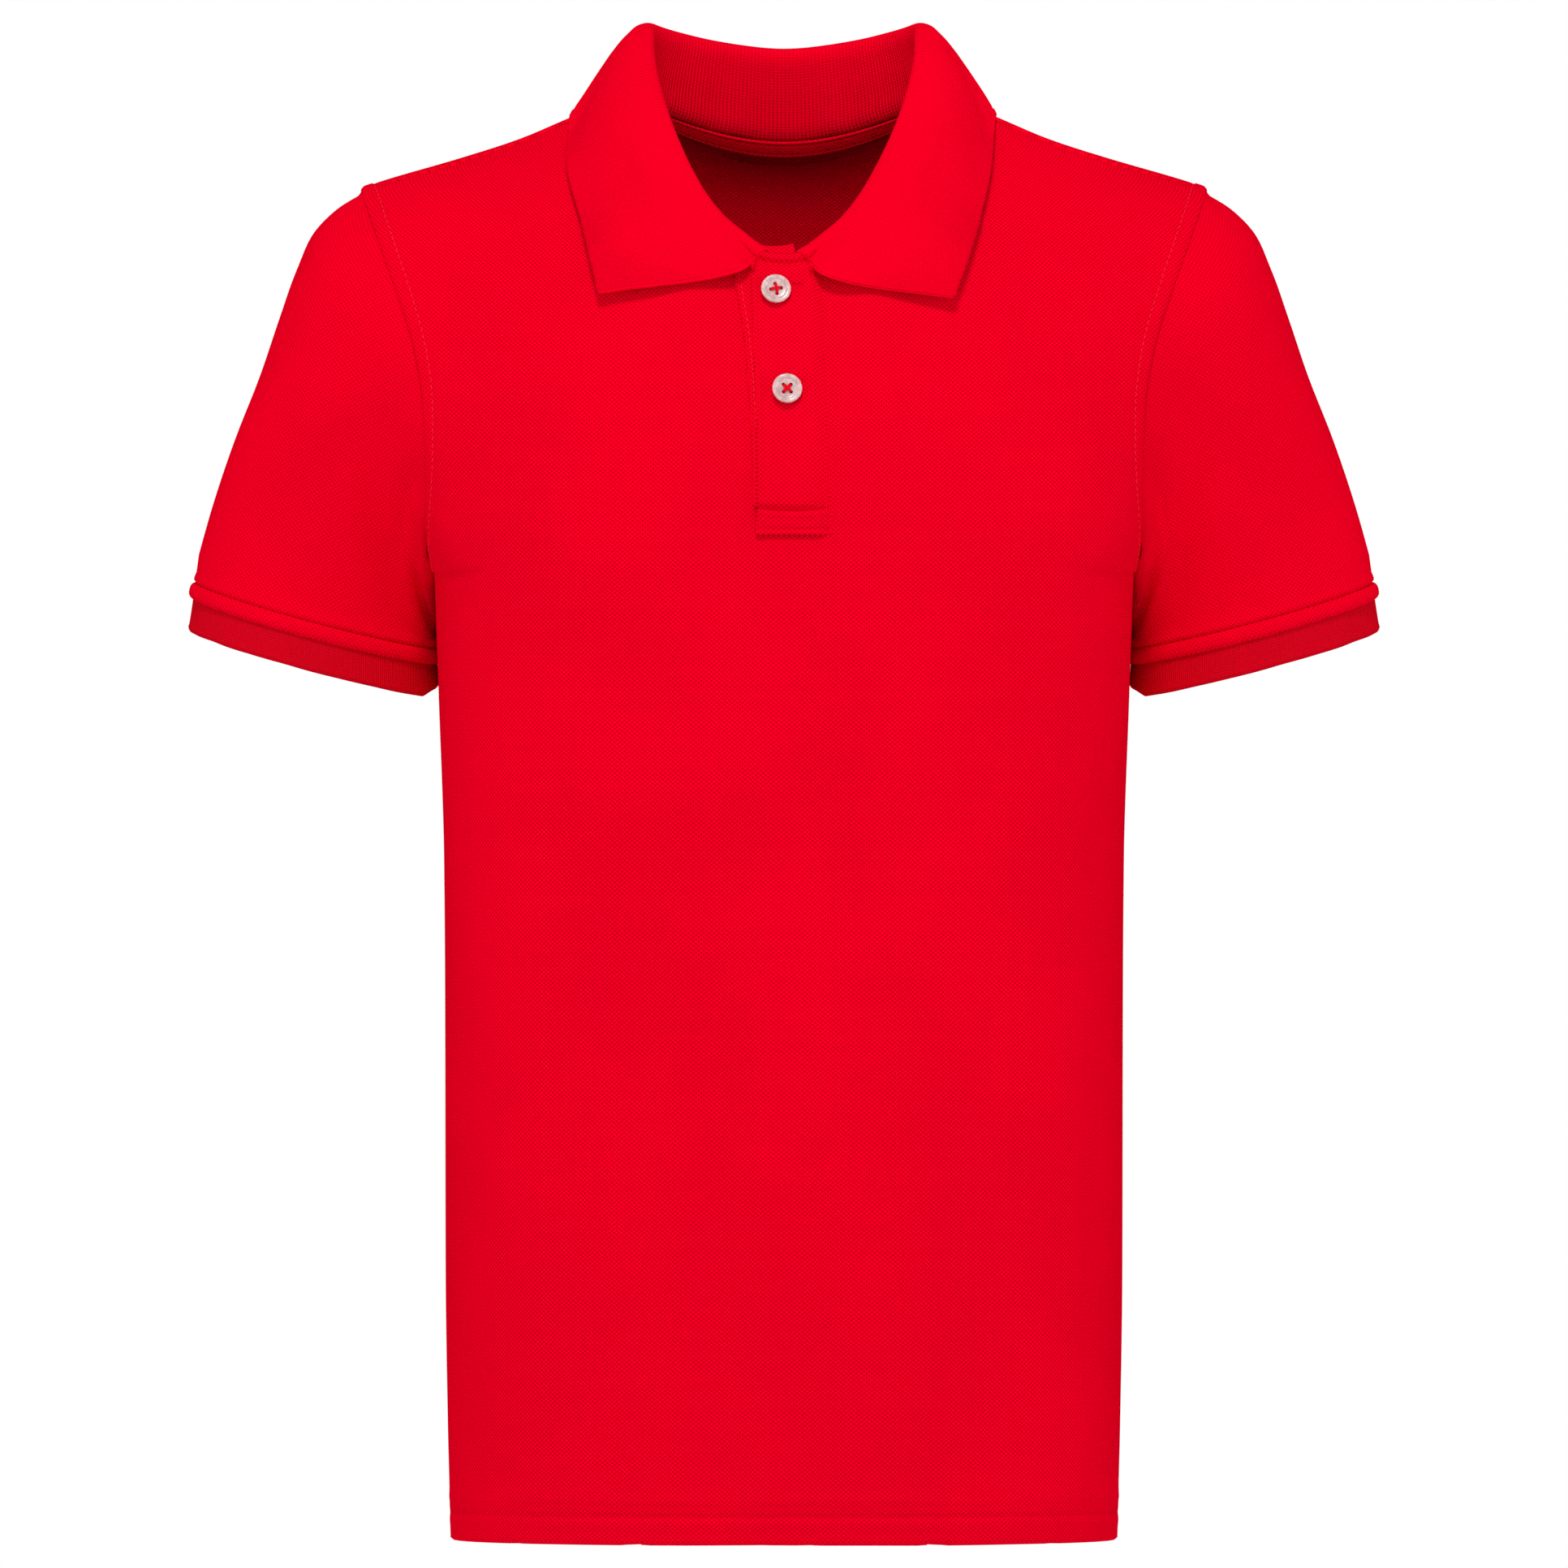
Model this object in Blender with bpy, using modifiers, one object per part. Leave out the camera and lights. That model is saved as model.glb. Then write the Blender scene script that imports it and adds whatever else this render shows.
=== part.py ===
"""A child's short-sleeved polo shirt, hollow as when worn, with nobody in it.

Metres, +Z up, front toward -Y, +X to the viewer's right. The origin is in the neck
opening, midway between the shoulders that hold the shirt up. Every cloth piece is a
closed wall through points worked out from the sizes below.
"""
import math

import bmesh
import bpy
import numpy as np
from mathutils import Matrix

# ---- cloth and seams ----
CLOTH = 0.0012            # body and sleeve cloth
ALLOWANCE = 0.0026        # cloth with its seam allowance turned under, at the armhole
HEM_CLOTH = 0.0022        # turned-up hem
RIB = 0.0014              # flat-knit collar and cuffs
SEAM = 0.0003             # gap between two sewn pieces

# ---- body levels ----
HEM_Z = -0.5420
HEM_TOP_Z = -0.5265
HEM_STEP = 0.0020         # height of the step where the hem's fold ends
UNDERARM_Z = -0.1740
SIDE_Y = 0.0040           # plane of the side seams
ROUND = 2.5               # superellipse power of a body section
ROUND_HIGH = 1.25         # and of one well above the underarm
ROUND_FADE = 0.22         # share of the upper panel's height over which it changes
EDGE_SHARE = 0.5          # fraction of the half width where the armhole begins to lead
TOP_BEND = 6              # how late the rows bend over to the shoulder seam

BODY_LEVELS = (
    dict(z=-0.5420, half=0.1273, front=0.0925, back=0.0900),
    dict(z=-0.4960, half=0.1285, front=0.0940, back=0.0915),
    dict(z=-0.4390, half=0.1293, front=0.0955, back=0.0920),
    dict(z=-0.3360, half=0.1295, front=0.0965, back=0.0900),
    dict(z=-0.2820, half=0.1299, front=0.0975, back=0.0890),
    dict(z=-0.2500, half=0.1308, front=0.0985, back=0.0900),
    dict(z=-0.2170, half=0.1322, front=0.0990, back=0.0915),
    dict(z=-0.1740, half=0.1330, front=0.0990, back=0.0930),
)

# ---- shoulder and neck ----
TIP_X = 0.1615
TIP_Z = -0.0270
NECK_X = 0.0600
SHOULDER_Y_NECK = -0.0020
NECK_FRONT_Z = -0.0555
NECK_FRONT_Y = -0.0660
NECK_BACK_Z = -0.0070
NECK_BACK_Y = 0.0480

SHOULDER_LINE = (
    dict(x=0.0600, z=0.0085),
    dict(x=0.0810, z=0.0000),
    dict(x=0.1010, z=-0.0084),
    dict(x=0.1230, z=-0.0155),
    dict(x=0.1520, z=-0.0239),
    dict(x=0.1615, z=-0.0270),
)

# ---- armhole ----
ARMHOLE_FRONT_REACH = 0.0470
ARMHOLE_BACK_REACH = 0.0450
ARMHOLE_BACK_WIDER = 0.0040
ARMHOLE_ROUND = 0.9
ARMHOLE_LINE = (
    dict(z=-0.1740, x=0.1330),
    dict(z=-0.1660, x=0.1359),
    dict(z=-0.1350, x=0.1367),
    dict(z=-0.1100, x=0.1378),
    dict(z=-0.0884, x=0.1413),
    dict(z=-0.0667, x=0.1478),
    dict(z=-0.0480, x=0.1543),
    dict(z=-0.0270, x=0.1615),
)

# ---- sleeve ----
SLEEVE_TOP_LINE = (
    dict(s=0.000, x=0.1616, z=-0.0290),
    dict(s=0.068, x=0.1713, z=-0.0352),
    dict(s=0.129, x=0.1790, z=-0.0430),
    dict(s=0.226, x=0.1861, z=-0.0578),
    dict(s=0.348, x=0.1927, z=-0.0760),
    dict(s=0.499, x=0.2005, z=-0.0985),
    dict(s=0.661, x=0.2103, z=-0.1230),
    dict(s=0.811, x=0.2182, z=-0.1460),
    dict(s=1.000, x=0.2268, z=-0.1762),
)
SLEEVE_END_OUTER = (0.2269, -0.1826)    # x, z of the end ring's outermost point
SLEEVE_END_INNER = (0.1336, -0.2078)    # x, z of its innermost point, beside the body
SLEEVE_END_Y = 0.0270
SLEEVE_END_HALF_DEPTH = 0.0380
SLEEVE_END_DIP = 0.0036                 # the front of the end ring hangs lower by this
SLEEVE_LEAVES = (0.20, -0.98)           # x, z heading of the sleeve at its end
SLEEVE_SHRINK = 0.0010                  # the sleeve head lies this deep under the body's edge
SIDE_CLEAR = 0.0016                     # sleeve to body side, below the underarm
HEAD_PULL = 0.75                        # how far the sleeve head runs on before it turns down
UNDER_PULL = 0.10
RING_SPACING = 1.2                      # rings lie closer together at the head
BAND_HEIGHT = 0.0056
BAND_SWELL = 0.0009
BAND_STEP = 0.0009
CUFF_HEIGHT = 0.0122
CUFF_LEAVES = (0.15, -0.989)
CUFF_INSET = 0.0004

# ---- placket, between the neckline and the stitched end box ----
SLOT_LEFT = -0.0090
SLOT_RIGHT = 0.0100
PLACKET_CLOTH = 0.0012
PLACKET_END_Z = -0.1600
BOX_TOP_Z = -0.1535                     # the strip rises over the under strip from here
BOX_RISE = 0.0040                       # height of that rise
BOX_ROWS = (-0.1568, -0.1535, -0.1515, -0.1495)
PLACKET_TOP_Z = -0.0595                 # last level row, before the neckline's curve is added
UNDER_END_Z = -0.1492
UNDER_TOP_Z = -0.0575
UNDER_RIGHT = 0.0118
UNDER_LAST = 0.0030                     # width of the under strip's last cells
OVER_STEP = 0.0006                      # the top strip starts down this far past UNDER_RIGHT
OVER_FALL = 0.0028                      # and is down on the panel after this much more
STRIP_CELLS = 8                         # rows of cells up a strip
STRIP_COLUMNS = 7
PLACKET_EDGES = (
    dict(z=-0.1600, left=-0.0106, right=0.0183, under_left=-0.0110),
    dict(z=-0.1500, left=-0.0098, right=0.0186, under_left=-0.0112),
    dict(z=-0.1290, left=-0.0098, right=0.0180, under_left=-0.0117),
    dict(z=-0.1050, left=-0.0106, right=0.0172, under_left=-0.0130),
    dict(z=-0.0850, left=-0.0114, right=0.0162, under_left=-0.0148),
    dict(z=-0.0610, left=-0.0122, right=0.0153, under_left=-0.0187),
    dict(z=-0.0500, left=-0.0126, right=0.0150, under_left=-0.0200),
)
PLACKET_TOP_DROP = 0.0058               # the top strip ends this far below the neckline
UNDER_TAB_RISE = 0.0042                 # the under strip's end stands above the neckline
UNDER_TOP_DROP = 0.0020                 # and lies below it outside the tab
TAB_LEFT = -0.0085
TAB_RIGHT = 0.0050
TAB_FADE = 0.0020

# ---- buttons ----
BUTTON_RADIUS = 0.0057
BUTTON_THICK = 0.0024
BUTTON_DISH = 0.0007
BUTTON_RIM = 0.0012
BUTTON_FOOT = 0.0016                    # the foot's edge is this far inside the rim
BUTTON_EDGE = 0.0006                    # rounding of the edge
BUTTON_STEPS = 28
HOLES = 4
HOLE_RADIUS = 0.0007
HOLE_SPREAD = 0.0020
HOLE_SIDES = 8
BUTTONS = (
    dict(name="button_1", x=-0.0031, z=-0.0690, turn=8),
    dict(name="button_2", x=0.0012, z=-0.1060, turn=45),
)

# ---- neck tape ----
TAPE_WIDTH = 0.0070
TAPE_THICK = 0.0010
TAPE_REACH = 0.90                       # how far it runs into the cell beside the shoulder seam
TAPE_ROWS = (0.06, 0.53, 1.0)           # as shares of its width below the neckline
TAPE_SPLIT = 2                          # its columns for each of the panel's
TAPE_END_GAP = 0.0007                   # its ends stand this much further off the panel

# ---- collar: omega runs round the neckline, 0 at the front, 180 at the back ----
COLLAR_BACK = (
    dict(omega=124, fold_x=0.0445, fold_y=0.0300, fold_z=0.0340,
         edge_x=0.0690, edge_z=-0.0060, side=1),
    dict(omega=152, fold_x=0.0250, fold_y=0.0430, fold_z=0.0297,
         edge_x=0.0370, edge_z=-0.0135, side=1),
    dict(omega=180, fold_x=0.0000, fold_y=0.0465, fold_z=0.0270,
         edge_x=0.0000, edge_z=-0.0165, side=1),
)
COLLAR_FRONT = {
    -1: (
        dict(omega=8, fold_x=0.0110, fold_y=-0.0692, fold_z=-0.0525,
             edge_x=0.0691, edge_z=-0.0693, side=-1),
        dict(omega=28, fold_x=0.0294, fold_y=-0.0560, fold_z=-0.0319,
             edge_x=0.0728, edge_z=-0.0540, side=-1),
        dict(omega=48, fold_x=0.0433, fold_y=-0.0378, fold_z=-0.0035,
             edge_x=0.0765, edge_z=-0.0390, side=-1),
        dict(omega=66, fold_x=0.0500, fold_y=-0.0180, fold_z=0.0190,
             edge_x=0.0812, edge_z=-0.0220, side=-1),
        dict(omega=84, fold_x=0.0520, fold_y=-0.0010, fold_z=0.0330,
             edge_x=0.0812, edge_z=-0.0080, side=-1),
        dict(omega=102, fold_x=0.0520, fold_y=0.0130, fold_z=0.0360,
             edge_x=0.0800, edge_z=0.0000, side=0),
    ),
    1: (
        dict(omega=6.5, fold_x=0.0082, fold_y=-0.0699, fold_z=-0.0539,
             edge_x=0.0633, edge_z=-0.0711, side=-1),
        dict(omega=28, fold_x=0.0279, fold_y=-0.0565, fold_z=-0.0329,
             edge_x=0.0692, edge_z=-0.0550, side=-1),
        dict(omega=48, fold_x=0.0433, fold_y=-0.0378, fold_z=-0.0035,
             edge_x=0.0738, edge_z=-0.0390, side=-1),
        dict(omega=66, fold_x=0.0503, fold_y=-0.0180, fold_z=0.0190,
             edge_x=0.0775, edge_z=-0.0220, side=-1),
        dict(omega=84, fold_x=0.0522, fold_y=-0.0010, fold_z=0.0330,
             edge_x=0.0790, edge_z=-0.0080, side=-1),
        dict(omega=102, fold_x=0.0520, fold_y=0.0130, fold_z=0.0360,
             edge_x=0.0797, edge_z=0.0000, side=0),
    ),
}
FOLD_RADIUS_FRONT = 0.0025
FOLD_RADIUS_BACK = 0.0030
FOLD_TURN = math.radians(135)
LEAF_LIFT = 0.0027                      # leaf's middle above the body at its edge
LEAF_LIFT_TIP = 0.0034
LEAF_LIFT_SHOULDER = 0.0018             # it lies closer on the shoulder
SHOULDER_OMEGA = 93.0
SHOULDER_FADE = 16.0
LEAF_CLEAR = 0.0025
LEAF_CLEAR_PLACKET = 0.0060
LEAF_CLEAR_FROM = 0.0190                # x where the placket's layers stop lifting the leaf
LEAF_CLEAR_FADE = 0.0140
LEAF_SHOULDER = 0.0040                  # no lifting this close to the shoulder line
STAND_START = 0.0012
STAND_SHARES = (0.35, 0.70)
FOLD_CELLS = 3
RADIUS_FADE = 60.0                      # omega over which the fold's radius grows
TIP_FADE = 30.0                         # omega over which the tip's lift fades
LEAF_SHARES = (0.18, 0.36, 0.54, 0.72, 0.88, 1.0)
LEAF_BEGIN_PULL = 0.22
LEAF_END_PULL = 0.35
LEAF_BELLY = 0.0015
LEAF_SAG = {-1: 0.0013, 1: 0.0025}      # the front edge of the leaf hangs in a curve
SAG_FADE = 25.0
CORNER_GAP = 0.0004                     # extra seam gap just behind the shoulder seam
CORNER_OMEGA = 96.0
CORNER_FADE = 9.0

# ---- how finely the walls are divided ----
CELLS_SLOT_TO_NECK = 5
CELLS_NECK_TO_SIDE = 9
CELLS_LOWER = 11
CELLS_UPPER = 14
SLOT_END_ROW = 2                        # rows above the underarm where the placket slot ends
CELLS_SLEEVE = 11
COLLAR_CELLS_FRONT = 11                 # on each half, up to the shoulder
COLLAR_CELLS_BACK = 10
NORMAL_STEP = 0.01

RED = (0.83, 0.0, 0.012, 1.0)
PEARL = (0.80, 0.60, 0.58, 1.0)


# ---------------------------------------------------------------- small helpers
def column(table, name):
    return np.array([row[name] for row in table], float)


def curve_through(xs, ys, monotone=True):
    """A cubic through the points xs, ys, as a function of x; xs must rise."""
    gap = np.diff(xs)
    slope = np.diff(ys) / gap
    tangent = np.concatenate((slope[:1], (slope[:-1] * gap[1:] + slope[1:] * gap[:-1])
                              / (gap[:-1] + gap[1:]), slope[-1:]))
    if monotone:
        same = slope[:-1] * slope[1:] > 0
        total = np.where(same, slope[:-1] + slope[1:], 1.0)
        tangent[1:-1] = np.where(same, 2 * slope[:-1] * slope[1:] / total, 0.0)

    def at(x):
        x = np.clip(x, xs[0], xs[-1])
        k = np.clip(np.searchsorted(xs, x) - 1, 0, len(gap) - 1)
        t = (x - xs[k]) / gap[k]
        value = (2 * t ** 3 - 3 * t ** 2 + 1) * ys[k]
        value = value + (t ** 3 - 2 * t ** 2 + t) * gap[k] * tangent[k]
        value = value + (3 * t ** 2 - 2 * t ** 3) * ys[k + 1]
        return value + (t ** 3 - t ** 2) * gap[k] * tangent[k + 1]

    return at


def unit(vectors):
    length = np.linalg.norm(vectors, axis=-1, keepdims=True)
    return vectors / np.maximum(length, 1e-12)


def points(x, y, z):
    return np.stack(np.broadcast_arrays(x, y, z), axis=-1).astype(float)


def mix(a, b, t):
    return a + (b - a) * t


def ease(t):
    t = np.clip(t, 0.0, 1.0)
    return t * t * (3 - 2 * t)


# ---------------------------------------------------------------- the body's surface
LEVEL_Z = column(BODY_LEVELS, "z")
half_at = curve_through(LEVEL_Z, column(BODY_LEVELS, "half"))
depth_at = {
    -1: curve_through(LEVEL_Z, column(BODY_LEVELS, "front")),
    1: curve_through(LEVEL_Z, column(BODY_LEVELS, "back")),
}
shoulder_z = curve_through(column(SHOULDER_LINE, "x"), column(SHOULDER_LINE, "z"))
armhole_x = curve_through(column(ARMHOLE_LINE, "z"), column(ARMHOLE_LINE, "x"))
HALF = BODY_LEVELS[-1]["half"]
FULL_DEPTH = {-1: BODY_LEVELS[-1]["front"], 1: BODY_LEVELS[-1]["back"]}
REACH = {-1: ARMHOLE_FRONT_REACH, 1: ARMHOLE_BACK_REACH}
NECK_Y = {-1: NECK_FRONT_Y, 1: NECK_BACK_Y}
NECK_Z = {-1: NECK_FRONT_Z, 1: NECK_BACK_Z}


def lower_point(side, r, z):
    """Outer point at fraction r of the half width and height z; side -1 front, 1 back."""
    depth = depth_at[side](z) * (1 - np.abs(r) ** ROUND) ** (1 / ROUND)
    return points(r * half_at(z), SIDE_Y + side * depth, z)


def armhole_point(side, v):
    """Armhole seam on +X: v 0 at the underarm, 1 at the shoulder tip."""
    middle = (UNDERARM_Z + TIP_Z) / 2
    z = middle - (TIP_Z - UNDERARM_Z) / 2 * np.cos(math.pi * v)
    x = armhole_x(z) + (ARMHOLE_BACK_WIDER * np.sin(math.pi * v) if side > 0 else 0.0)
    y = SIDE_Y + side * REACH[side] * np.clip(np.sin(math.pi * v), 0, 1) ** ARMHOLE_ROUND
    return points(x, y, z)


def ridge_z(side, x):
    """Height of the shoulder line, carried on inside the neck to meet the set neckline."""
    full = SIDE_Y + side * FULL_DEPTH[side] - SHOULDER_Y_NECK
    centre_sine = math.sqrt(1 - ((NECK_Y[side] - SHOULDER_Y_NECK) / full) ** 2)
    centre = UNDERARM_Z + (NECK_Z[side] - UNDERARM_Z) / centre_sine
    across = np.clip(np.abs(x) / NECK_X, 0, 1)
    inside = mix(centre, SHOULDER_LINE[0]["z"], across ** 2)
    return np.where(np.abs(x) < NECK_X, inside, shoulder_z(np.abs(x)))


def top_angle(side, x):
    """How far round a column has turned, from upright, where the panel ends."""
    full = SIDE_Y + side * FULL_DEPTH[side] - SHOULDER_Y_NECK
    drop = np.sqrt(1 - np.clip(np.abs(x) / NECK_X, 0, 1) ** 2)
    return np.arccos(drop * (NECK_Y[side] - SHOULDER_Y_NECK) / full)


def shoulder_y(x):
    return mix(SHOULDER_Y_NECK, SIDE_Y, np.clip((np.abs(x) - NECK_X) / (TIP_X - NECK_X), 0, 1))


def column_x(r):
    return r * (HALF + (TIP_X - HALF) * r * r)


def column_profile(side, r, v):
    """y and z of a column that stands free of the armhole."""
    x = column_x(r)
    turn = v * top_angle(side, x)
    ridge_y = shoulder_y(x)
    centre_y = SIDE_Y + side * FULL_DEPTH[side]
    y = ridge_y + (centre_y - ridge_y) * np.cos(turn)
    z = UNDERARM_Z + (ridge_z(side, x) - UNDERARM_Z) * np.sin(turn)
    return y, z


def top_edge(side, r):
    """Neckline and shoulder seam, which end the panel above."""
    y, z = column_profile(side, r, 1.0)
    return points(column_x(r), y, z)


def upper_point(side, r, v):
    """Outer point above the underarm: v 0 at its level, 1 on the neckline or shoulder seam."""
    top = top_edge(side, r)
    edge = armhole_point(side, v)
    reach = np.abs(r)
    free_y, free_z = column_profile(side, r, v)
    edge_z = UNDERARM_Z + (top[..., 2] - UNDERARM_Z) * (1 - np.cos(math.pi * v)) / 2
    z = mix(free_z, edge_z, ease((reach - EDGE_SHARE) / (1 - EDGE_SHARE)))
    x = r * (HALF + (edge[..., 0] - HALF) * r * r)
    power = ROUND_HIGH + (ROUND - ROUND_HIGH) * np.exp(-(v / ROUND_FADE) ** 2)
    taper = (1 - np.clip(reach, 0, 1) ** ROUND) ** (1 / power)
    y = edge[..., 1] + (free_y - edge[..., 1]) * taper
    y = y + (top[..., 1] - SIDE_Y) * (1 - taper) * v ** TOP_BEND
    return points(x, y, z)


def panel_point(side, r, v):
    """Outer point of a body panel: v -1 at the hem, 0 at the underarm, 1 at the top."""
    r, v = np.broadcast_arrays(np.asarray(r, float), np.asarray(v, float))
    z = mix(UNDERARM_Z, HEM_Z, np.clip(-v, 0, 1))
    low = lower_point(side, r, z)
    high = upper_point(side, r, np.clip(v, 0, 1))
    return np.where((v <= 0)[..., None], low, high)


def panel_normal(side, r, v):
    r, v = np.broadcast_arrays(np.asarray(r, float), np.asarray(v, float))
    step = NORMAL_STEP
    across = (panel_point(side, np.clip(r + step, -1, 1), v)
              - panel_point(side, np.clip(r - step, -1, 1), v))
    along = (panel_point(side, r, np.clip(v + step, -1, 1))
             - panel_point(side, r, np.clip(v - step, -1, 1)))
    return unit(np.cross(across, along) * -side)


def level_to_v(z):
    return (z - UNDERARM_Z) / (UNDERARM_Z - HEM_Z)


def fraction_at_top(x):
    """The r whose column reaches the top edge at x."""
    r = x / HALF
    for _ in range(12):
        r = x / (HALF + (TIP_X - HALF) * r * r)
    return r


def locate(side, x, value, axis=2):
    """The r and v of the panel's point at x and a height, or at x and y with axis 1."""
    x, value = np.broadcast_arrays(np.asarray(x, float), np.asarray(value, float))
    rising = 1 if axis == 2 else -side
    r = np.clip(x / HALF, -1, 1)
    for _ in range(8):
        low = np.zeros_like(r)
        high = np.ones_like(r)
        for _ in range(24):
            v = (low + high) / 2
            beyond = (panel_point(side, r, v)[..., axis] - value) * rising > 0
            high = np.where(beyond, v, high)
            low = np.where(beyond, low, v)
        reached = panel_point(side, r, v)[..., 0]
        r = np.where(np.abs(x) < 1e-5, 0.0, r * x / np.where(np.abs(reached) < 1e-9, 1.0, reached))
        r = np.clip(r, -1, 1)
    return r, v


# ---------------------------------------------------------------- solids
def material(name, colour, roughness):
    made = bpy.data.materials.new(name)
    made.use_nodes = True
    shader = made.node_tree.nodes["Principled BSDF"]
    shader.inputs["Base Color"].default_value = colour
    shader.inputs["Roughness"].default_value = roughness
    shader.inputs["Metallic"].default_value = 0.0
    return made


def add_object(name, bm, colour, roughness, collection):
    bmesh.ops.recalc_face_normals(bm, faces=bm.faces)
    mesh = bpy.data.meshes.new(name)
    bm.to_mesh(mesh)
    bm.free()
    mesh.materials.append(material(name, colour, roughness))
    mesh.shade_smooth()
    mesh.set_sharp_from_angle(angle=math.radians(50))
    made = bpy.data.objects.new(name, mesh)
    collection.objects.link(made)
    return made


def cloth_wall(name, outer, inner, collection, closed=False, skip=None):
    """A closed wall between two grids of points [row][column]; closed joins the last column
    to the first, and skip says which cells are left open."""
    rows, columns = outer.shape[:2]
    bm = bmesh.new()
    made = {}

    def corner(layer, row, col):
        key = (layer, row, col % columns)
        if key not in made:
            made[key] = bm.verts.new((outer, inner)[layer][row, col % columns])
        return made[key]

    across = columns if closed else columns - 1
    if skip is None:
        skip = np.zeros((rows - 1, across), bool)
    cells = [(row, col) for row in range(rows - 1) for col in range(across) if not skip[row, col]]
    edges = {}
    for row, col in cells:
        ring = [(row, col), (row, col + 1), (row + 1, col + 1), (row + 1, col)]
        bm.faces.new([corner(0, *at) for at in ring])
        bm.faces.new([corner(1, *at) for at in reversed(ring)])
        for start, end in zip(ring, ring[1:] + ring[:1]):
            ends = ((start[0], start[1] % columns), (end[0], end[1] % columns))
            if ends[::-1] in edges:
                del edges[ends[::-1]]
            else:
                edges[ends] = True
    for start, end in edges:
        bm.faces.new([corner(0, *end), corner(0, *start), corner(1, *start), corner(1, *end)])
    return add_object(name, bm, RED, 0.85, collection)


def grid_normals(grid, closed):
    if closed:
        across = np.roll(grid, -1, axis=1) - np.roll(grid, 1, axis=1)
    else:
        across = np.gradient(grid, axis=1)
    return unit(np.cross(across, np.gradient(grid, axis=0)))


def pull_in(grid, row, col, toward_row, toward_col, amount):
    """Moves one grid point toward another."""
    step = unit(grid[toward_row, toward_col] - grid[row, col]) * amount
    grid[row, col] += step


# ---------------------------------------------------------------- body panels
def panel_fractions():
    """Columns of a body panel, as fractions of the half width."""
    start = math.asin(SLOT_RIGHT / NECK_X)
    neck = fraction_at_top(NECK_X)
    near = []
    for k in range(CELLS_SLOT_TO_NECK + 1):
        angle = mix(start, math.pi / 2, k / CELLS_SLOT_TO_NECK)
        near.append(float(fraction_at_top(NECK_X * math.sin(angle))))
    turn = math.asin(neck)
    far = [math.sin(mix(turn, math.pi / 2, k / CELLS_NECK_TO_SIDE))
           for k in range(1, CELLS_NECK_TO_SIDE + 1)]
    right = near + far
    left = [-r for r in right]
    left[0] = SLOT_LEFT / HALF
    middle = (left[0] + right[0]) / 2
    return np.array(left[::-1] + [middle] + right)


def panel_rows():
    hem = [HEM_Z, mix(HEM_Z, HEM_TOP_Z, 0.5), HEM_TOP_Z, HEM_TOP_Z + HEM_STEP]
    body = [mix(hem[-1], UNDERARM_Z, k / CELLS_LOWER) for k in range(1, CELLS_LOWER + 1)]
    lower = [level_to_v(z) for z in hem + body]
    upper = [k / CELLS_UPPER for k in range(1, CELLS_UPPER + 1)]
    return np.array(lower + upper)


def seam_normals(side, r, v):
    """Panel normals, shared with the other panel along the side and shoulder seams."""
    own = panel_normal(side, r, v)
    other = panel_normal(-side, r, v)
    top_r = np.abs(column_x(r)) >= NECK_X - 1e-6
    shared = ((np.abs(r) > 1 - 1e-9) & (v <= 1e-9)) | (top_r & (v > 1 - 1e-9))
    return np.where(shared[..., None], unit(own + other), own)


def panel_grids(side):
    """Outer and inner points of a body panel [row][column], with its rows and fractions."""
    fractions = panel_fractions()
    rows = panel_rows()
    r, v = np.meshgrid(fractions, rows)
    grid = panel_point(side, r, v)
    last_row = len(rows) - 1
    last_col = len(fractions) - 1
    for col, inner_col in ((0, 1), (last_col, last_col - 1)):
        for row in np.nonzero(rows <= 1e-9)[0]:
            pull_in(grid, row, col, row, inner_col, SEAM / 2)
    for col in np.nonzero(np.abs(column_x(fractions)) >= NECK_X - 1e-6)[0]:
        pull_in(grid, last_row, col, last_row - 1, col, SEAM / 2)
    thick = np.full(r.shape, CLOTH)
    thick[grid[..., 2] <= HEM_TOP_Z + 1e-6] = HEM_CLOTH
    thick[(np.abs(r) > 1 - 1e-9) & (v > 1e-9)] = ALLOWANCE
    return grid, grid - seam_normals(side, r, v) * thick[..., None], rows, fractions


def make_panel(name, side, collection):
    outer, inner, rows, fractions = panel_grids(side)
    skip = None
    if side < 0:
        past_left = fractions[:-1] > SLOT_LEFT / HALF - 1e-6
        before_right = fractions[1:] < fraction_at_top(SLOT_RIGHT) + 1e-6
        above_end = rows[:-1] > SLOT_END_ROW / CELLS_UPPER - 1e-6
        skip = above_end[:, None] & (past_left & before_right)[None, :]
    return cloth_wall(name, outer, inner, collection, skip=skip)


# ---------------------------------------------------------------- sleeves
def armhole_ring():
    """Seam points round the +X armhole, their normals and headings out of the body."""
    steps = CELLS_UPPER
    order = [(-1, k / steps) for k in range(steps + 1)]
    order += [(1, k / steps) for k in range(steps - 1, 0, -1)]
    at = np.array([panel_point(side, 1.0, v) for side, v in order])
    normal = np.array([panel_normal(side, 1.0, v) for side, v in order])
    for shared in (0, steps):
        v = order[shared][1]
        normal[shared] = unit(panel_normal(-1, 1.0, v) + panel_normal(1, 1.0, v))
    tangent = unit(np.roll(at, -1, axis=0) - np.roll(at, 1, axis=0))
    heading = unit(np.cross(tangent, normal))
    turn = np.array([v * math.pi for _, v in order])
    return at, normal, heading, turn


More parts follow.
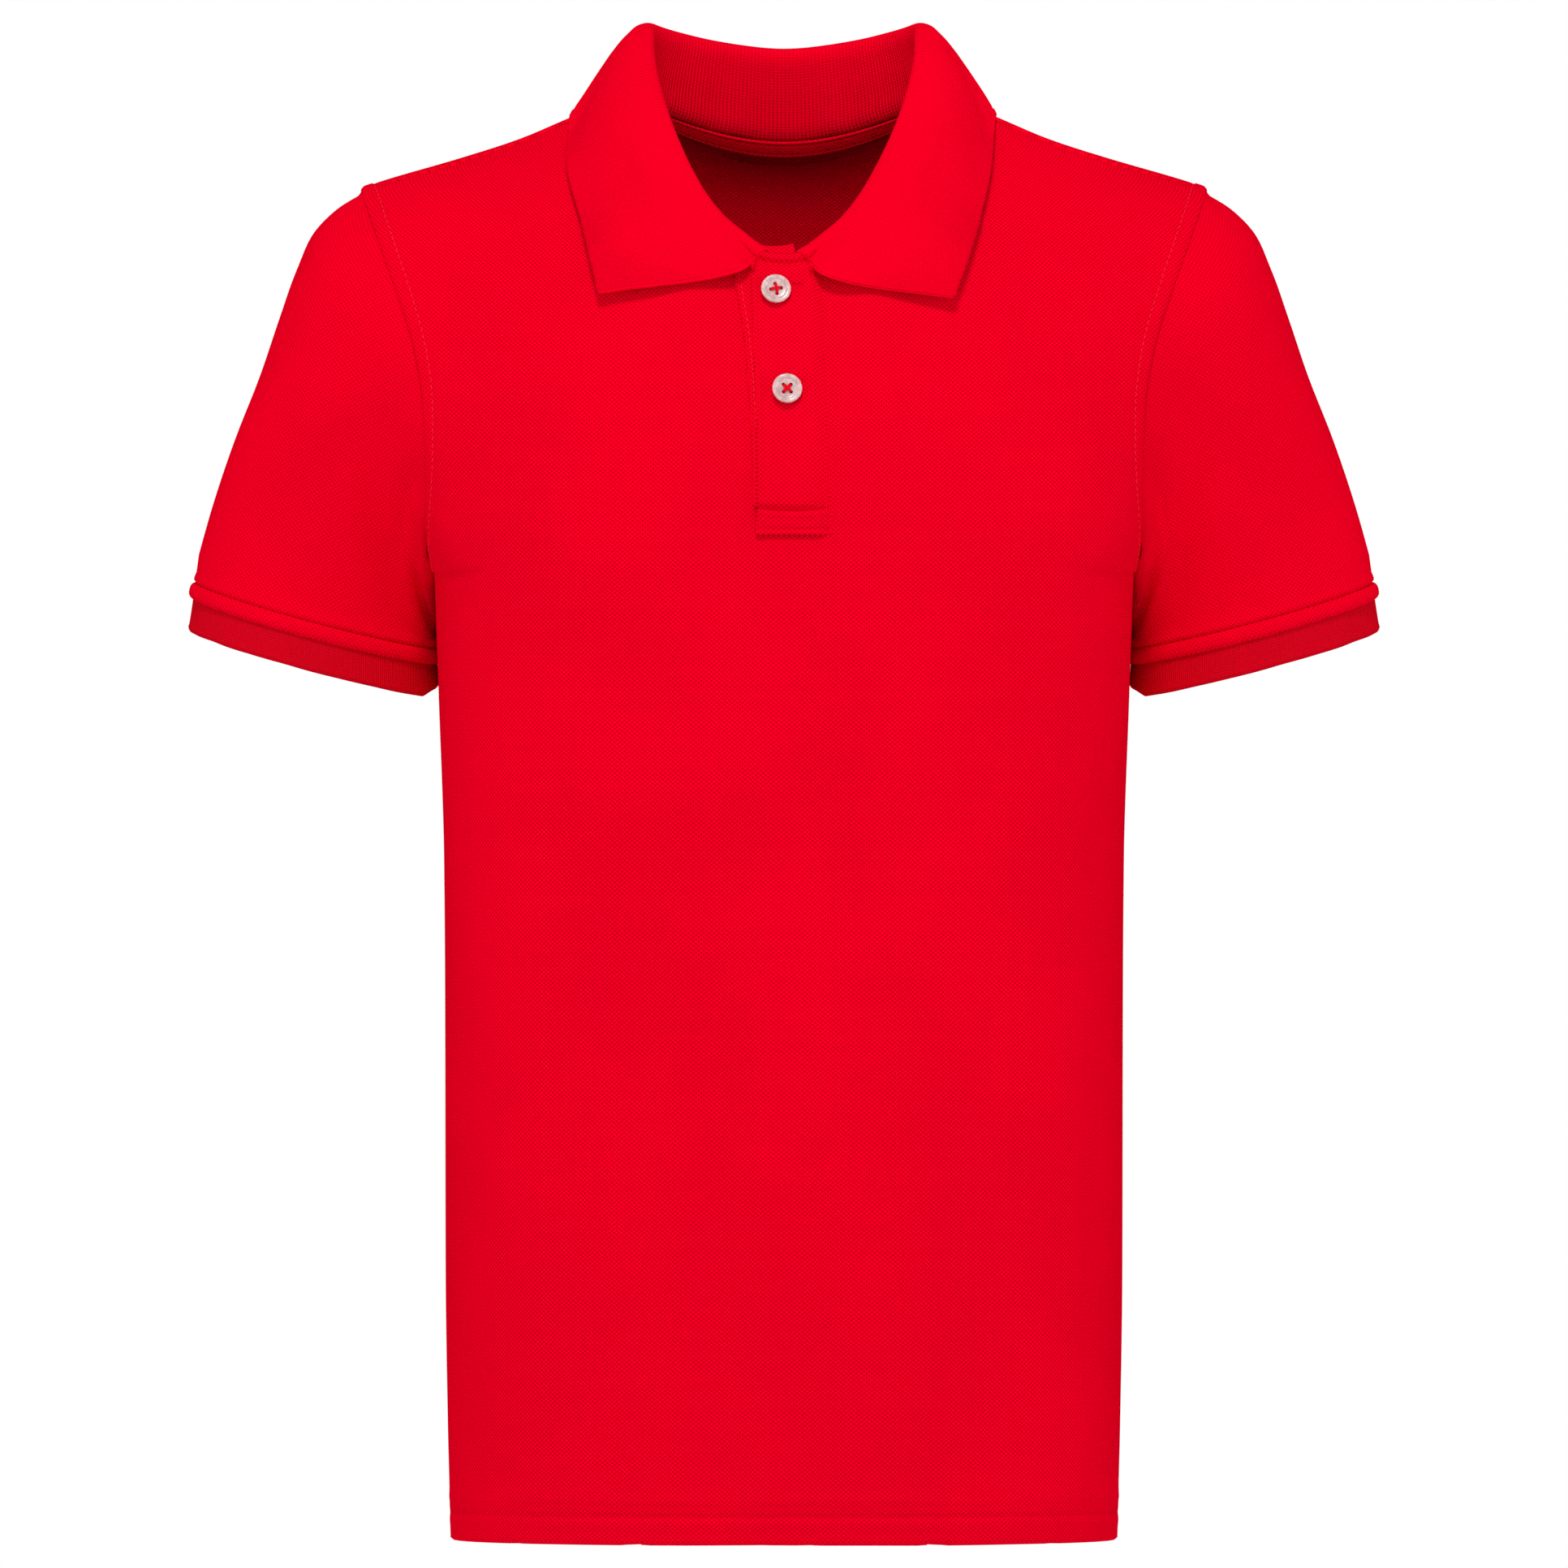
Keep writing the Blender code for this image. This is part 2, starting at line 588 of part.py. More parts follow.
def end_ring(angles, leaves, drop):
    """Points round the sleeve's end: angle 0 beside the body, 90 front, 180 outside."""
    centre = np.array([(SLEEVE_END_OUTER[0] + SLEEVE_END_INNER[0]) / 2, SLEEVE_END_Y,
                       (SLEEVE_END_OUTER[1] + SLEEVE_END_INNER[1]) / 2])
    out = np.array([(SLEEVE_END_OUTER[0] - SLEEVE_END_INNER[0]) / 2, 0.0,
                    (SLEEVE_END_OUTER[1] - SLEEVE_END_INNER[1]) / 2])
    front = np.array([0.0, -SLEEVE_END_HALF_DEPTH, -SLEEVE_END_DIP])
    along = unit(np.array([leaves[0], 0.0, leaves[1]]))
    ring = centre - np.cos(angles)[:, None] * out + np.sin(angles)[:, None] * front
    return ring + along * drop, along


def ring_angles(at):
    """Angles of the seam points, by their share of the way round each half."""
    length = np.linalg.norm(np.roll(at, -1, axis=0) - at, axis=1)
    half = len(at) // 2
    front = np.concatenate(([0.0], np.cumsum(length[:half])))
    back = np.concatenate(([0.0], np.cumsum(length[half:])))
    return np.concatenate((math.pi * front / front[-1], math.pi + math.pi * back[1:-1] / back[-1]))


def clear_of_side(ring):
    """Keeps the sleeve's outer points just clear of the body's side, below the underarm."""
    side = np.where(ring[:, 1] < SIDE_Y, -1, 1)
    depth = np.where(side < 0, depth_at[-1](ring[:, 2]), depth_at[1](ring[:, 2]))
    share = np.clip(np.abs(ring[:, 1] - SIDE_Y) / depth, 0, 0.99)
    body_x = half_at(ring[:, 2]) * (1 - share ** ROUND) ** (1 / ROUND)
    below = ring[:, 2] < UNDERARM_Z - 2 * SEAM
    ring[:, 0] = np.where(below, np.maximum(ring[:, 0], body_x + SIDE_CLEAR), ring[:, 0])
    return ring


def sleeve_grid():
    """Outer points of the +X sleeve [ring][point], its swell and its first ring's normals.

    Under the arm the first ring hangs from the body's edge instead of lying in line with it.
    """
    at, normal, heading, turn = armhole_ring()
    tuck = math.pi / 2 * np.clip(np.cos(1.5 * np.clip(turn, 0, math.pi / 3)), 0, 1)[:, None]
    start_heading = np.cos(tuck) * heading + np.sin(tuck) * normal
    start_normal = np.cos(tuck) * normal - np.sin(tuck) * heading
    under = np.sin(tuck)
    start = at + start_heading * SEAM + start_normal * mix(-SLEEVE_SHRINK, CLOTH, under)
    angles = ring_angles(at)
    finish, along = end_ring(angles, SLEEVE_LEAVES, -BAND_HEIGHT - BAND_STEP)
    reach = np.linalg.norm(finish - start, axis=1, keepdims=True)
    leave = start_heading * reach * mix(HEAD_PULL, UNDER_PULL, under)
    beside = ((1 + np.cos(angles[:, None])) / 2) ** 2
    arrive = mix(along, np.array([0.0, 0.0, -1.0]), beside) * reach
    top = len(at) // 2
    near_top = (((1 - np.cos(angles)) / 2) ** 2)[:, None]
    top_x = curve_through(column(SLEEVE_TOP_LINE, "s"), column(SLEEVE_TOP_LINE, "x"), False)
    top_z = curve_through(column(SLEEVE_TOP_LINE, "s"), column(SLEEVE_TOP_LINE, "z"), False)
    rings = []
    for k in range(CELLS_SLEEVE + 1):
        s = (k / CELLS_SLEEVE) ** RING_SPACING
        ring = (2 * s ** 3 - 3 * s ** 2 + 1) * start + (s ** 3 - 2 * s ** 2 + s) * leave
        ring = ring + (3 * s ** 2 - 2 * s ** 3) * finish + (s ** 3 - s ** 2) * arrive
        wanted = np.array([top_x(s), 0.0, top_z(s)])
        shift = wanted - ring[top]
        shift[1] = 0.0
        if 0 < k < CELLS_SLEEVE:
            ring = ring + near_top * shift
            ring = clear_of_side(ring)
        rings.append(ring)
    swell = [0.0] * len(rings)
    for before_end, out in ((BAND_HEIGHT, 0.0), (BAND_HEIGHT - BAND_STEP, BAND_SWELL),
                            (BAND_STEP, BAND_SWELL), (0.0, BAND_SWELL * 0.5)):
        rings.append(end_ring(angles, SLEEVE_LEAVES, -before_end)[0])
        swell.append(out)
    return np.array(rings), np.array(swell), start_normal


def mirror(grid, sign):
    return grid * np.array([sign, 1.0, 1.0])


def make_sleeve(name, sign, collection):
    grid, swell, start_normal = sleeve_grid()
    normal = -grid_normals(grid, closed=True)
    normal[0] = start_normal
    outer = grid + normal * swell[:, None, None]
    inner = grid - normal * CLOTH
    return cloth_wall(name, mirror(outer, sign), mirror(inner, sign), collection, closed=True)


def make_cuff(name, sign, collection):
    angles = ring_angles(armhole_ring()[0])
    rows = (0.0, CUFF_HEIGHT / 3, CUFF_HEIGHT * 2 / 3, CUFF_HEIGHT)
    base, _ = end_ring(angles, SLEEVE_LEAVES, SEAM)
    along = unit(np.array([CUFF_LEAVES[0], 0.0, CUFF_LEAVES[1]]))
    grid = np.array([base + along * row for row in rows])
    normal = -grid_normals(grid, closed=True)
    outer = grid - normal * CUFF_INSET
    inner = outer - normal * RIB
    return cloth_wall(name, mirror(outer, sign), mirror(inner, sign), collection, closed=True)


# ---------------------------------------------------------------- collar
def collar_curves(sign):
    """Fold x, y, z and leaf edge x, y as functions of omega, and the first omega."""
    past_middle = dict(COLLAR_BACK[-2])
    past_middle.update(omega=360 - past_middle["omega"], fold_x=-past_middle["fold_x"],
                       edge_x=-past_middle["edge_x"])
    rows = COLLAR_FRONT[sign] + COLLAR_BACK + (past_middle,)
    omega = column(rows, "omega")
    edge_y = []
    for row in rows:
        if row["side"] == 0:
            edge_y.append(float(shoulder_y(row["edge_x"])))
            continue
        r, v = locate(row["side"], row["edge_x"], row["edge_z"])
        edge_y.append(float(panel_point(row["side"], r, v)[1]))
    columns = [column(rows, name) for name in ("fold_x", "fold_y", "fold_z", "edge_x")]
    return omega[0], [curve_through(omega, values, False) for values in columns + [np.array(edge_y)]]


def body_under(x, y):
    """Body point and normal below x, y, on whichever panel lies there."""
    side = -1 if y < shoulder_y(x) else 1
    r, v = locate(side, x, y, axis=1)
    return panel_point(side, r, v), panel_normal(side, r, v)


def neckline_knot(side, sign, angle):
    """Middle of the cloth at the neckline, and the way the surface runs on past it; the angle
    is 0 on the middle of the side and 90 at the shoulder."""
    def fraction(at):
        return sign * float(fraction_at_top(NECK_X * math.sin(math.radians(at))))

    r = fraction(angle)
    normal = panel_normal(side, r, 1.0)
    if angle > 80:
        normal = unit(panel_normal(-1, r, 1.0) + panel_normal(1, r, 1.0))
    along = top_edge(side, fraction(min(angle + 1.0, 90.0))) - top_edge(side, fraction(angle - 1.0))
    onward = unit(np.cross(along, normal))
    top = panel_point(side, r, 1.0)
    if np.dot(onward, top - panel_point(side, r, 0.985)) < 0:
        onward = -onward
    return top - normal * CLOTH / 2, onward


def neckline(omega, sign):
    """The neckline between two columns of the panel, which it crosses in a straight line."""
    side = -1 if omega <= 90 else 1
    angle = omega if side < 0 else 180 - omega
    x = sign * column_x(panel_fractions())
    x = x[(x > 0) & (x < NECK_X + 1e-6)]
    knots = np.sort(np.degrees(np.arcsin(np.clip(x / NECK_X, 0, 1))))
    knots = np.concatenate(([0.0], knots))
    k = int(np.clip(np.searchsorted(knots, angle) - 1, 0, len(knots) - 2))
    share = (angle - knots[k]) / (knots[k + 1] - knots[k])
    near, near_on = neckline_knot(side, sign, knots[k])
    far, far_on = neckline_knot(side, sign, knots[k + 1])
    return mix(near, far, share), unit(mix(near_on, far_on, share))


def bezier(a, b, c, d, t):
    return (1 - t) ** 3 * a + 3 * (1 - t) ** 2 * t * b + 3 * (1 - t) * t ** 2 * c + t ** 3 * d


def clear_of_body(at):
    """Moves a leaf point out until it clears the body and the placket's layers."""
    x, y, z = at
    if abs(x) > TIP_X or z > float(shoulder_z(abs(x))) - LEAF_SHOULDER or z < UNDERARM_Z:
        return at
    side = -1 if y < 0.0 else 1
    r, v = locate(side, x, z)
    if v > 0.995:
        return at
    body = panel_point(side, r, v)
    normal = panel_normal(side, r, v)
    clear = LEAF_CLEAR
    if side < 0:
        past = float(ease((abs(x) - LEAF_CLEAR_FROM) / LEAF_CLEAR_FADE))
        clear = mix(LEAF_CLEAR_PLACKET, LEAF_CLEAR, past)
    limit = body[1] + side * clear / max(abs(normal[1]), 0.4)
    moved = np.array(at)
    moved[1] = min(y, limit) if side < 0 else max(y, limit)
    return moved


def collar_half(sign):
    """Sections of one half, from the front end to the back centre [station][point]."""
    first, curves = collar_curves(sign)
    omegas = [mix(first, 90.0, k / COLLAR_CELLS_FRONT) for k in range(COLLAR_CELLS_FRONT)]
    omegas += [mix(90.0, 180.0, k / COLLAR_CELLS_BACK) for k in range(COLLAR_CELLS_BACK + 1)]
    out = []
    for omega in omegas:
        fold = np.array([float(curve(omega)) for curve in curves[:3]])
        ahead = np.array([float(curve(min(omega + 1.5, 180.0))) for curve in curves[:3]])
        behind = np.array([float(curve(max(omega - 1.5, first))) for curve in curves[:3]])
        if omega > 178.5:
            ahead = behind * np.array([-1.0, 1.0, 1.0])
        fold[0], ahead[0], behind[0] = sign * fold[0], sign * ahead[0], sign * behind[0]
        run = unit(ahead - behind)
        base, upward = neckline(omega, sign)
        rising = unit(fold - base)
        away = unit(np.cross(run, rising)) * sign
        lift = unit(np.cross(away, run)) * sign
        share = float(ease((omega - first) / RADIUS_FADE))
        radius = mix(FOLD_RADIUS_FRONT, FOLD_RADIUS_BACK, share)
        centre = fold - lift * radius
        corner = CORNER_GAP * math.exp(-((omega - CORNER_OMEGA) / CORNER_FADE) ** 2)
        root = base + upward * (SEAM + corner)
        risen = root + upward * STAND_START
        section = [root, risen]
        start = centre - away * radius
        for t in STAND_SHARES:
            section.append(mix(risen, start, t))
        for k in range(FOLD_CELLS + 1):
            turn = FOLD_TURN * k / FOLD_CELLS
            section.append(centre + radius * (lift * math.sin(turn) - away * math.cos(turn)))
        begin = section[-1]
        body, normal = body_under(sign * float(curves[3](omega)), float(curves[4](omega)))
        off = mix(LEAF_LIFT_TIP, LEAF_LIFT, float(ease((omega - first) / TIP_FADE)))
        on_shoulder = math.exp(-((omega - SHOULDER_OMEGA) / SHOULDER_FADE) ** 2)
        edge = body + normal * mix(off, LEAF_LIFT_SHOULDER, on_shoulder)
        span = np.linalg.norm(edge - begin)
        leave = unit(lift * math.cos(FOLD_TURN) + away * math.sin(FOLD_TURN))
        sag = np.array([0.0, 0.0, -LEAF_SAG[sign] * float(1 - ease((omega - first) / SAG_FADE))])
        after_fold = begin + leave * span * LEAF_BEGIN_PULL + sag
        before_edge = mix(edge, begin, LEAF_END_PULL) + normal * LEAF_BELLY + sag
        for t in LEAF_SHARES:
            at = bezier(begin, after_fold, before_edge, edge, t)
            section.append(clear_of_body(at) if t < 1.0 else at)
        out.append(section)
    return np.array(out)


def make_collar(collection):
    left = collar_half(-1)
    right = collar_half(1)
    middle = (left[-1] + right[-1]) / 2
    middle[:, 0] = 0.0
    grid = np.concatenate((left[:-1], middle[None], right[:-1][::-1]))
    normal = grid_normals(grid, closed=False)
    return cloth_wall("collar", grid + normal * RIB / 2, grid - normal * RIB / 2, collection)


# ---------------------------------------------------------------- neck tape
def make_tape(collection):
    """Laid on the inside of the back panel's last cells, below the neckline."""
    _, inner, _, fractions = panel_grids(1)
    held = np.nonzero(np.abs(column_x(fractions)) < NECK_X + 1e-6)[0]
    top = inner[-1, held]
    below = inner[-2, held]
    places = np.linspace(0, len(held) - 1, TAPE_SPLIT * (len(held) - 1) + 1)
    places[0] = 1 - TAPE_REACH
    places[-1] = len(held) - 2 + TAPE_REACH
    rows = []
    for share in TAPE_ROWS:
        row = []
        for place in places:
            k = min(int(place), len(held) - 2)
            high = mix(top[k], top[k + 1], place - k)
            low = mix(below[k], below[k + 1], place - k)
            row.append(high + unit(low - high) * share * TAPE_WIDTH)
        rows.append(row)
    grid = np.array(rows)
    inward = grid_normals(grid, closed=False)
    inward = inward * -np.sign(inward[1, len(places) // 2, 1])
    gap = SEAM + TAPE_END_GAP * np.linspace(-1, 1, len(places)) ** 2
    outer = grid + inward * gap[None, :, None]
    return cloth_wall("neck_tape", outer, outer + inward * TAPE_THICK, collection)


# ---------------------------------------------------------------- placket
PLACKET_Z = column(PLACKET_EDGES, "z")
placket_left = curve_through(PLACKET_Z, column(PLACKET_EDGES, "left"))
placket_right = curve_through(PLACKET_Z, column(PLACKET_EDGES, "right"))
under_left = curve_through(PLACKET_Z, column(PLACKET_EDGES, "under_left"))


def neckline_z(x):
    return top_edge(-1, fraction_at_top(x))[..., 2]


def off_panel(x, z, out):
    """A point moved out from the front panel; above the neckline it runs straight on."""
    top_z = neckline_z(x)
    r, v = locate(-1, x, np.minimum(z, top_z - 1e-5))
    at = panel_point(-1, r, v)
    normal = panel_normal(-1, r, v)
    run = unit(panel_point(-1, r, v) - panel_point(-1, r, v - 2 * NORMAL_STEP))
    extra = np.maximum(z - top_z, 0.0) / run[..., 2]
    return at + run * extra[..., None] + normal * np.asarray(out)[..., None], normal


def strip(name, left, right, step_x, heights, top_of, out_of, collection):
    """A placket strip between two edge lines, from its lower end up to top_of(x). Its last
    cell lies between step_x and the right edge."""
    share = np.linspace(0, 1, STRIP_COLUMNS)

    def across(z):
        return np.append(mix(left(z), step_x, share), right(z))

    x_top = across(heights[-1])
    grid_x, grid_z = [], []
    for z in heights:
        x = across(z)
        rise = ease((z - heights[-3]) / (heights[-1] - heights[-3]))
        grid_x.append(x)
        grid_z.append(z + (top_of(x_top) - heights[-1]) * rise)
    x = np.array(grid_x)
    z = np.array(grid_z)
    near, normal = off_panel(x, z, out_of(x, z))
    return cloth_wall(name, near + normal * PLACKET_CLOTH, near, collection)


def make_placket(collection):
    shares = [k / STRIP_CELLS for k in range(STRIP_CELLS + 1)]
    top_heights = [PLACKET_END_Z, *BOX_ROWS]
    top_heights += [mix(BOX_ROWS[-1], PLACKET_TOP_Z, share) for share in shares[1:]]
    under_heights = [mix(UNDER_END_Z, UNDER_TOP_Z, share) for share in shares]
    stacked = SEAM + PLACKET_CLOTH + SEAM

    def top_out(x, z):
        over_under = 1 - ease((x - UNDER_RIGHT - OVER_STEP) / OVER_FALL)
        above_box = ease((z - BOX_TOP_Z) / BOX_RISE)
        return SEAM + (stacked - SEAM) * over_under * above_box

    def under_out(x, z):
        return np.full(x.shape, SEAM)

    def under_top(x):
        tab = ease((x - TAB_LEFT) / TAB_FADE) * ease((TAB_RIGHT - x) / TAB_FADE)
        return neckline_z(x) + mix(-UNDER_TOP_DROP, UNDER_TAB_RISE, tab)

    def under_right(z):
        return UNDER_RIGHT

    def top_top(x):
        return neckline_z(x) - PLACKET_TOP_DROP

    strip("placket_under", under_left, under_right, UNDER_RIGHT - UNDER_LAST, under_heights,
          under_top, under_out, collection)
    strip("placket_top", placket_left, placket_right, UNDER_RIGHT + OVER_STEP, top_heights,
          top_top, top_out, collection)


# ---------------------------------------------------------------- buttons
def make_drill(name, first_turn, cutters):
    """The drills of a button's thread holes, in one mesh."""
    bm = bmesh.new()
    for k in range(HOLES):
        turn = math.radians(first_turn + 360 / HOLES * k)
        place = Matrix.Translation((HOLE_SPREAD * math.cos(turn), HOLE_SPREAD * math.sin(turn), 0.0))
        bmesh.ops.create_cone(bm, cap_ends=True, segments=HOLE_SIDES, radius1=HOLE_RADIUS,
                              radius2=HOLE_RADIUS, depth=BUTTON_THICK * 3, matrix=place)
    mesh = bpy.data.meshes.new(name)
    bm.to_mesh(mesh)
    bm.free()
    drill = bpy.data.objects.new(name, mesh)
    cutters.objects.link(drill)
    drill.hide_render = True
    drill.display_type = "WIRE"
    return drill


def make_button(spec, collection, cutters):
    """A dished four-hole button, turned from its profile and laid on the placket."""
    half = BUTTON_THICK / 2
    profile = ((0.0, half - BUTTON_DISH), (BUTTON_RADIUS - 2 * BUTTON_RIM, half - BUTTON_DISH),
               (BUTTON_RADIUS - BUTTON_RIM, half - BUTTON_DISH / 7), (BUTTON_RADIUS - BUTTON_EDGE, half),
               (BUTTON_RADIUS, half - BUTTON_EDGE), (BUTTON_RADIUS - BUTTON_EDGE, -half + BUTTON_EDGE),
               (BUTTON_RADIUS - BUTTON_FOOT, -half), (0.0, -half))
    mesh = bpy.data.meshes.new(spec["name"])
    lines = [(k, k + 1) for k in range(len(profile) - 1)]
    mesh.from_pydata([(r, 0.0, z) for r, z in profile], lines, [])
    mesh.materials.append(material(spec["name"], PEARL, 0.22))
    button = bpy.data.objects.new(spec["name"], mesh)
    collection.objects.link(button)
    screw = button.modifiers.new("turned", "SCREW")
    screw.steps = BUTTON_STEPS
    screw.render_steps = BUTTON_STEPS
    screw.use_merge_vertices = True
    screw.merge_threshold = 0.00001
    screw.use_smooth_shade = True
    drill = make_drill(spec["name"] + "_drill", spec["turn"], cutters)
    drill.parent = button
    holes = button.modifiers.new("holes", "BOOLEAN")
    holes.object = drill
    holes.operation = "DIFFERENCE"
    holes.solver = "EXACT"
    stacked = 3 * SEAM + 2 * PLACKET_CLOTH
    at, normal = off_panel(np.array([spec["x"]]), np.array([spec["z"]]), np.array([stacked + half]))
    facing = normal[0]
    across = unit(np.cross([0.0, 0.0, 1.0], facing))
    matrix = np.eye(4)
    matrix[:3, :] = np.column_stack((across, np.cross(facing, across), facing, at[0]))
    button.matrix_world = Matrix(matrix.tolist())


def main():
    for thing in list(bpy.data.objects):
        bpy.data.objects.remove(thing, do_unlink=True)
    shirt = bpy.data.collections.new("polo_shirt")
    cutters = bpy.data.collections.new("cutters")
    bpy.context.scene.collection.children.link(shirt)
    bpy.context.scene.collection.children.link(cutters)
    make_panel("front", -1, shirt)
    make_panel("back", 1, shirt)
    for name, sign in (("left", -1), ("right", 1)):
        make_sleeve("sleeve_" + name, sign, shirt)
        make_cuff("cuff_" + name, sign, shirt)
    make_collar(shirt)
    make_tape(shirt)
    make_placket(shirt)
    for spec in BUTTONS:
        make_button(spec, shirt, cutters)


main()
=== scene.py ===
import math

import bmesh
import bpy
import numpy as np
from mathutils import Matrix, Vector


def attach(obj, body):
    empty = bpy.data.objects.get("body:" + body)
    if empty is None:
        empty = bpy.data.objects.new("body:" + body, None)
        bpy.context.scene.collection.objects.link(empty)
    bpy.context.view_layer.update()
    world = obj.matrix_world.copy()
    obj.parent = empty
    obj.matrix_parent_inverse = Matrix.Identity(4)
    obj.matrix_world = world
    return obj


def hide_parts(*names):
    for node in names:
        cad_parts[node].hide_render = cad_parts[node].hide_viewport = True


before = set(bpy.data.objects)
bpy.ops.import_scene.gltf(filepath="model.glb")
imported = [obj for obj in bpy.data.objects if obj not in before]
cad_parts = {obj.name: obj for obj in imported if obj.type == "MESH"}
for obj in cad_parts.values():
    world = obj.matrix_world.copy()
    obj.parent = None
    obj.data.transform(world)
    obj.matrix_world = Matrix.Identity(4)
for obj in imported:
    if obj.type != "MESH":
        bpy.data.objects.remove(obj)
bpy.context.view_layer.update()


def table(names, *rows):
    """Rows of values under the given names."""
    return tuple(dict(zip(names.split(), row)) for row in rows)


# ---- cloth and seams ----
CLOTH = 0.0011
HEM_CLOTH = 0.0021
RIB = 0.0014
SEAM = 0.0003

# ---- body form, as the solids have it ----
HEM_Z = -0.5420
UNDERARM_Z = -0.1740
SIDE_Y = 0.0040
ROUND = 2.5
ROUND_HIGH = 1.25
ROUND_FADE = 0.22
EDGE_SHARE = 0.5
TOP_BEND = 6
BODY_LEVELS = table(
    "z half front back",
    (-0.5420, 0.1273, 0.0925, 0.0900),
    (-0.4960, 0.1285, 0.0940, 0.0915),
    (-0.4390, 0.1293, 0.0955, 0.0920),
    (-0.3360, 0.1295, 0.0965, 0.0900),
    (-0.2820, 0.1299, 0.0975, 0.0890),
    (-0.2500, 0.1308, 0.0985, 0.0900),
    (-0.2170, 0.1322, 0.0990, 0.0915),
    (-0.1740, 0.1330, 0.0990, 0.0930),
)
TIP_X = 0.1615
TIP_Z = -0.0270
NECK_X = 0.0600
SHOULDER_Y_NECK = -0.0020
NECK_Y = {-1: -0.0660, 1: 0.0480}
NECK_Z = {-1: -0.0555, 1: -0.0070}
SHOULDER_LINE = table(
    "x z",
    (0.0600, 0.0085),
    (0.0810, 0.0000),
    (0.1010, -0.0084),
    (0.1230, -0.0155),
    (0.1520, -0.0239),
    (0.1615, -0.0270),
)
REACH = {-1: 0.0470, 1: 0.0450}
ARMHOLE_BACK_WIDER = 0.0040
ARMHOLE_ROUND = 0.9
ARMHOLE_LINE = table(
    "z x",
    (-0.1740, 0.1330),
    (-0.1660, 0.1359),
    (-0.1350, 0.1367),
    (-0.1100, 0.1378),
    (-0.0884, 0.1413),
    (-0.0667, 0.1478),
    (-0.0480, 0.1543),
    (-0.0270, 0.1615),
)

# ---- sleeves ----
SLEEVE_TOP_LINE = table(
    "s x z",
    (0.000, 0.1616, -0.0290),
    (0.068, 0.1713, -0.0352),
    (0.129, 0.1790, -0.0430),
    (0.226, 0.1861, -0.0578),
    (0.348, 0.1927, -0.0760),
    (0.499, 0.2005, -0.0985),
    (0.661, 0.2103, -0.1230),
    (0.811, 0.2182, -0.1460),
    (1.000, 0.2268, -0.1762),
)
SLEEVE_END_OUTER = (0.2269, -0.1826)
SLEEVE_END_INNER = (0.1320, -0.2078)
SLEEVE_END_Y = 0.0270
SLEEVE_END_HALF_DEPTH = 0.0380
SLEEVE_END_DIP = 0.0036
SLEEVE_LEAVES = (0.20, -0.98)
SLEEVE_SHRINK = 0.0010
SIDE_CLEAR = 0.0004
HEAD_PULL = 0.75
UNDER_PULL = 0.10
RING_SPACING = 1.2
BAND_HEIGHT = 0.0056
CUFF_HEIGHT = 0.0122
CUFF_LEAVES = (0.15, -0.989)
CUFF_INSET = 0.0007
CUFF_INNER_LEAVES = -0.04
CUFF_CORNER = 0.0036
CUFF_CORNER_WIDE = 0.0052

# ---- placket ----
SLOT_LEFT = -0.0090
SLOT_RIGHT = 0.0100
SLOT_END_V = 2 / 14
PLACKET_END_Z = -0.1600
UNDER_END_Z = -0.1492
UNDER_RIGHT = 0.0118
PLACKET_EDGES = table(
    "z left right under_left",
    (-0.1600, -0.0106, 0.0183, -0.0110),
    (-0.1500, -0.0098, 0.0186, -0.0112),
    (-0.1290, -0.0098, 0.0180, -0.0117),
    (-0.1050, -0.0106, 0.0172, -0.0130),
    (-0.0850, -0.0114, 0.0162, -0.0148),
    (-0.0610, -0.0122, 0.0153, -0.0187),
    (-0.0500, -0.0126, 0.0150, -0.0200),
)

# ---- buttons ----
BUTTON_THICK = 0.0024
BUTTON_OUT = 0.0033
HOLE_RADIUS = 0.00070
HOLE_SPREAD = 0.0020
BUTTONS = (
    dict(name="button_1", x=-0.0031, z=-0.0690, turn=8),
    dict(name="button_2", x=0.0012, z=-0.1060, turn=45),
)

# ---- collar ----
COLLAR_BACK = table(
    "omega fold_x fold_y fold_z edge_x edge_z side",
    (124, 0.0445, 0.0300, 0.0340, 0.0690, -0.0060, 1),
    (152, 0.0250, 0.0430, 0.0297, 0.0370, -0.0135, 1),
    (180, 0.0000, 0.0465, 0.0270, 0.0000, -0.0165, 1),
)
COLLAR_FRONT = {
    -1: table(
        "omega fold_x fold_y fold_z edge_x edge_z side",
        (7, 0.0098, -0.0694, -0.0531, 0.0691, -0.0693, -1),
        (28, 0.0294, -0.0560, -0.0319, 0.0728, -0.0540, -1),
        (48, 0.0433, -0.0378, -0.0035, 0.0765, -0.0390, -1),
        (66, 0.0500, -0.0180, 0.0190, 0.0812, -0.0220, -1),
        (84, 0.0520, -0.0010, 0.0330, 0.0812, -0.0080, -1),
        (102, 0.0520, 0.0130, 0.0360, 0.0800, 0.0000, 0),
    ),
    1: table(
        "omega fold_x fold_y fold_z edge_x edge_z side",
        (6.5, 0.0082, -0.0699, -0.0539, 0.0633, -0.0711, -1),
        (28, 0.0279, -0.0565, -0.0329, 0.0692, -0.0550, -1),
        (48, 0.0433, -0.0378, -0.0035, 0.0738, -0.0390, -1),
        (66, 0.0503, -0.0180, 0.0190, 0.0775, -0.0220, -1),
        (84, 0.0522, -0.0010, 0.0330, 0.0790, -0.0080, -1),
        (102, 0.0520, 0.0130, 0.0360, 0.0797, 0.0000, 0),
    ),
}
FOLD_RADIUS_FRONT = 0.0025
FOLD_RADIUS_BACK = 0.0030
FOLD_TURN = math.radians(135)
LEAF_LIFT = 0.0027
LEAF_LIFT_TIP = 0.0034
LEAF_LIFT_SHOULDER = 0.0009
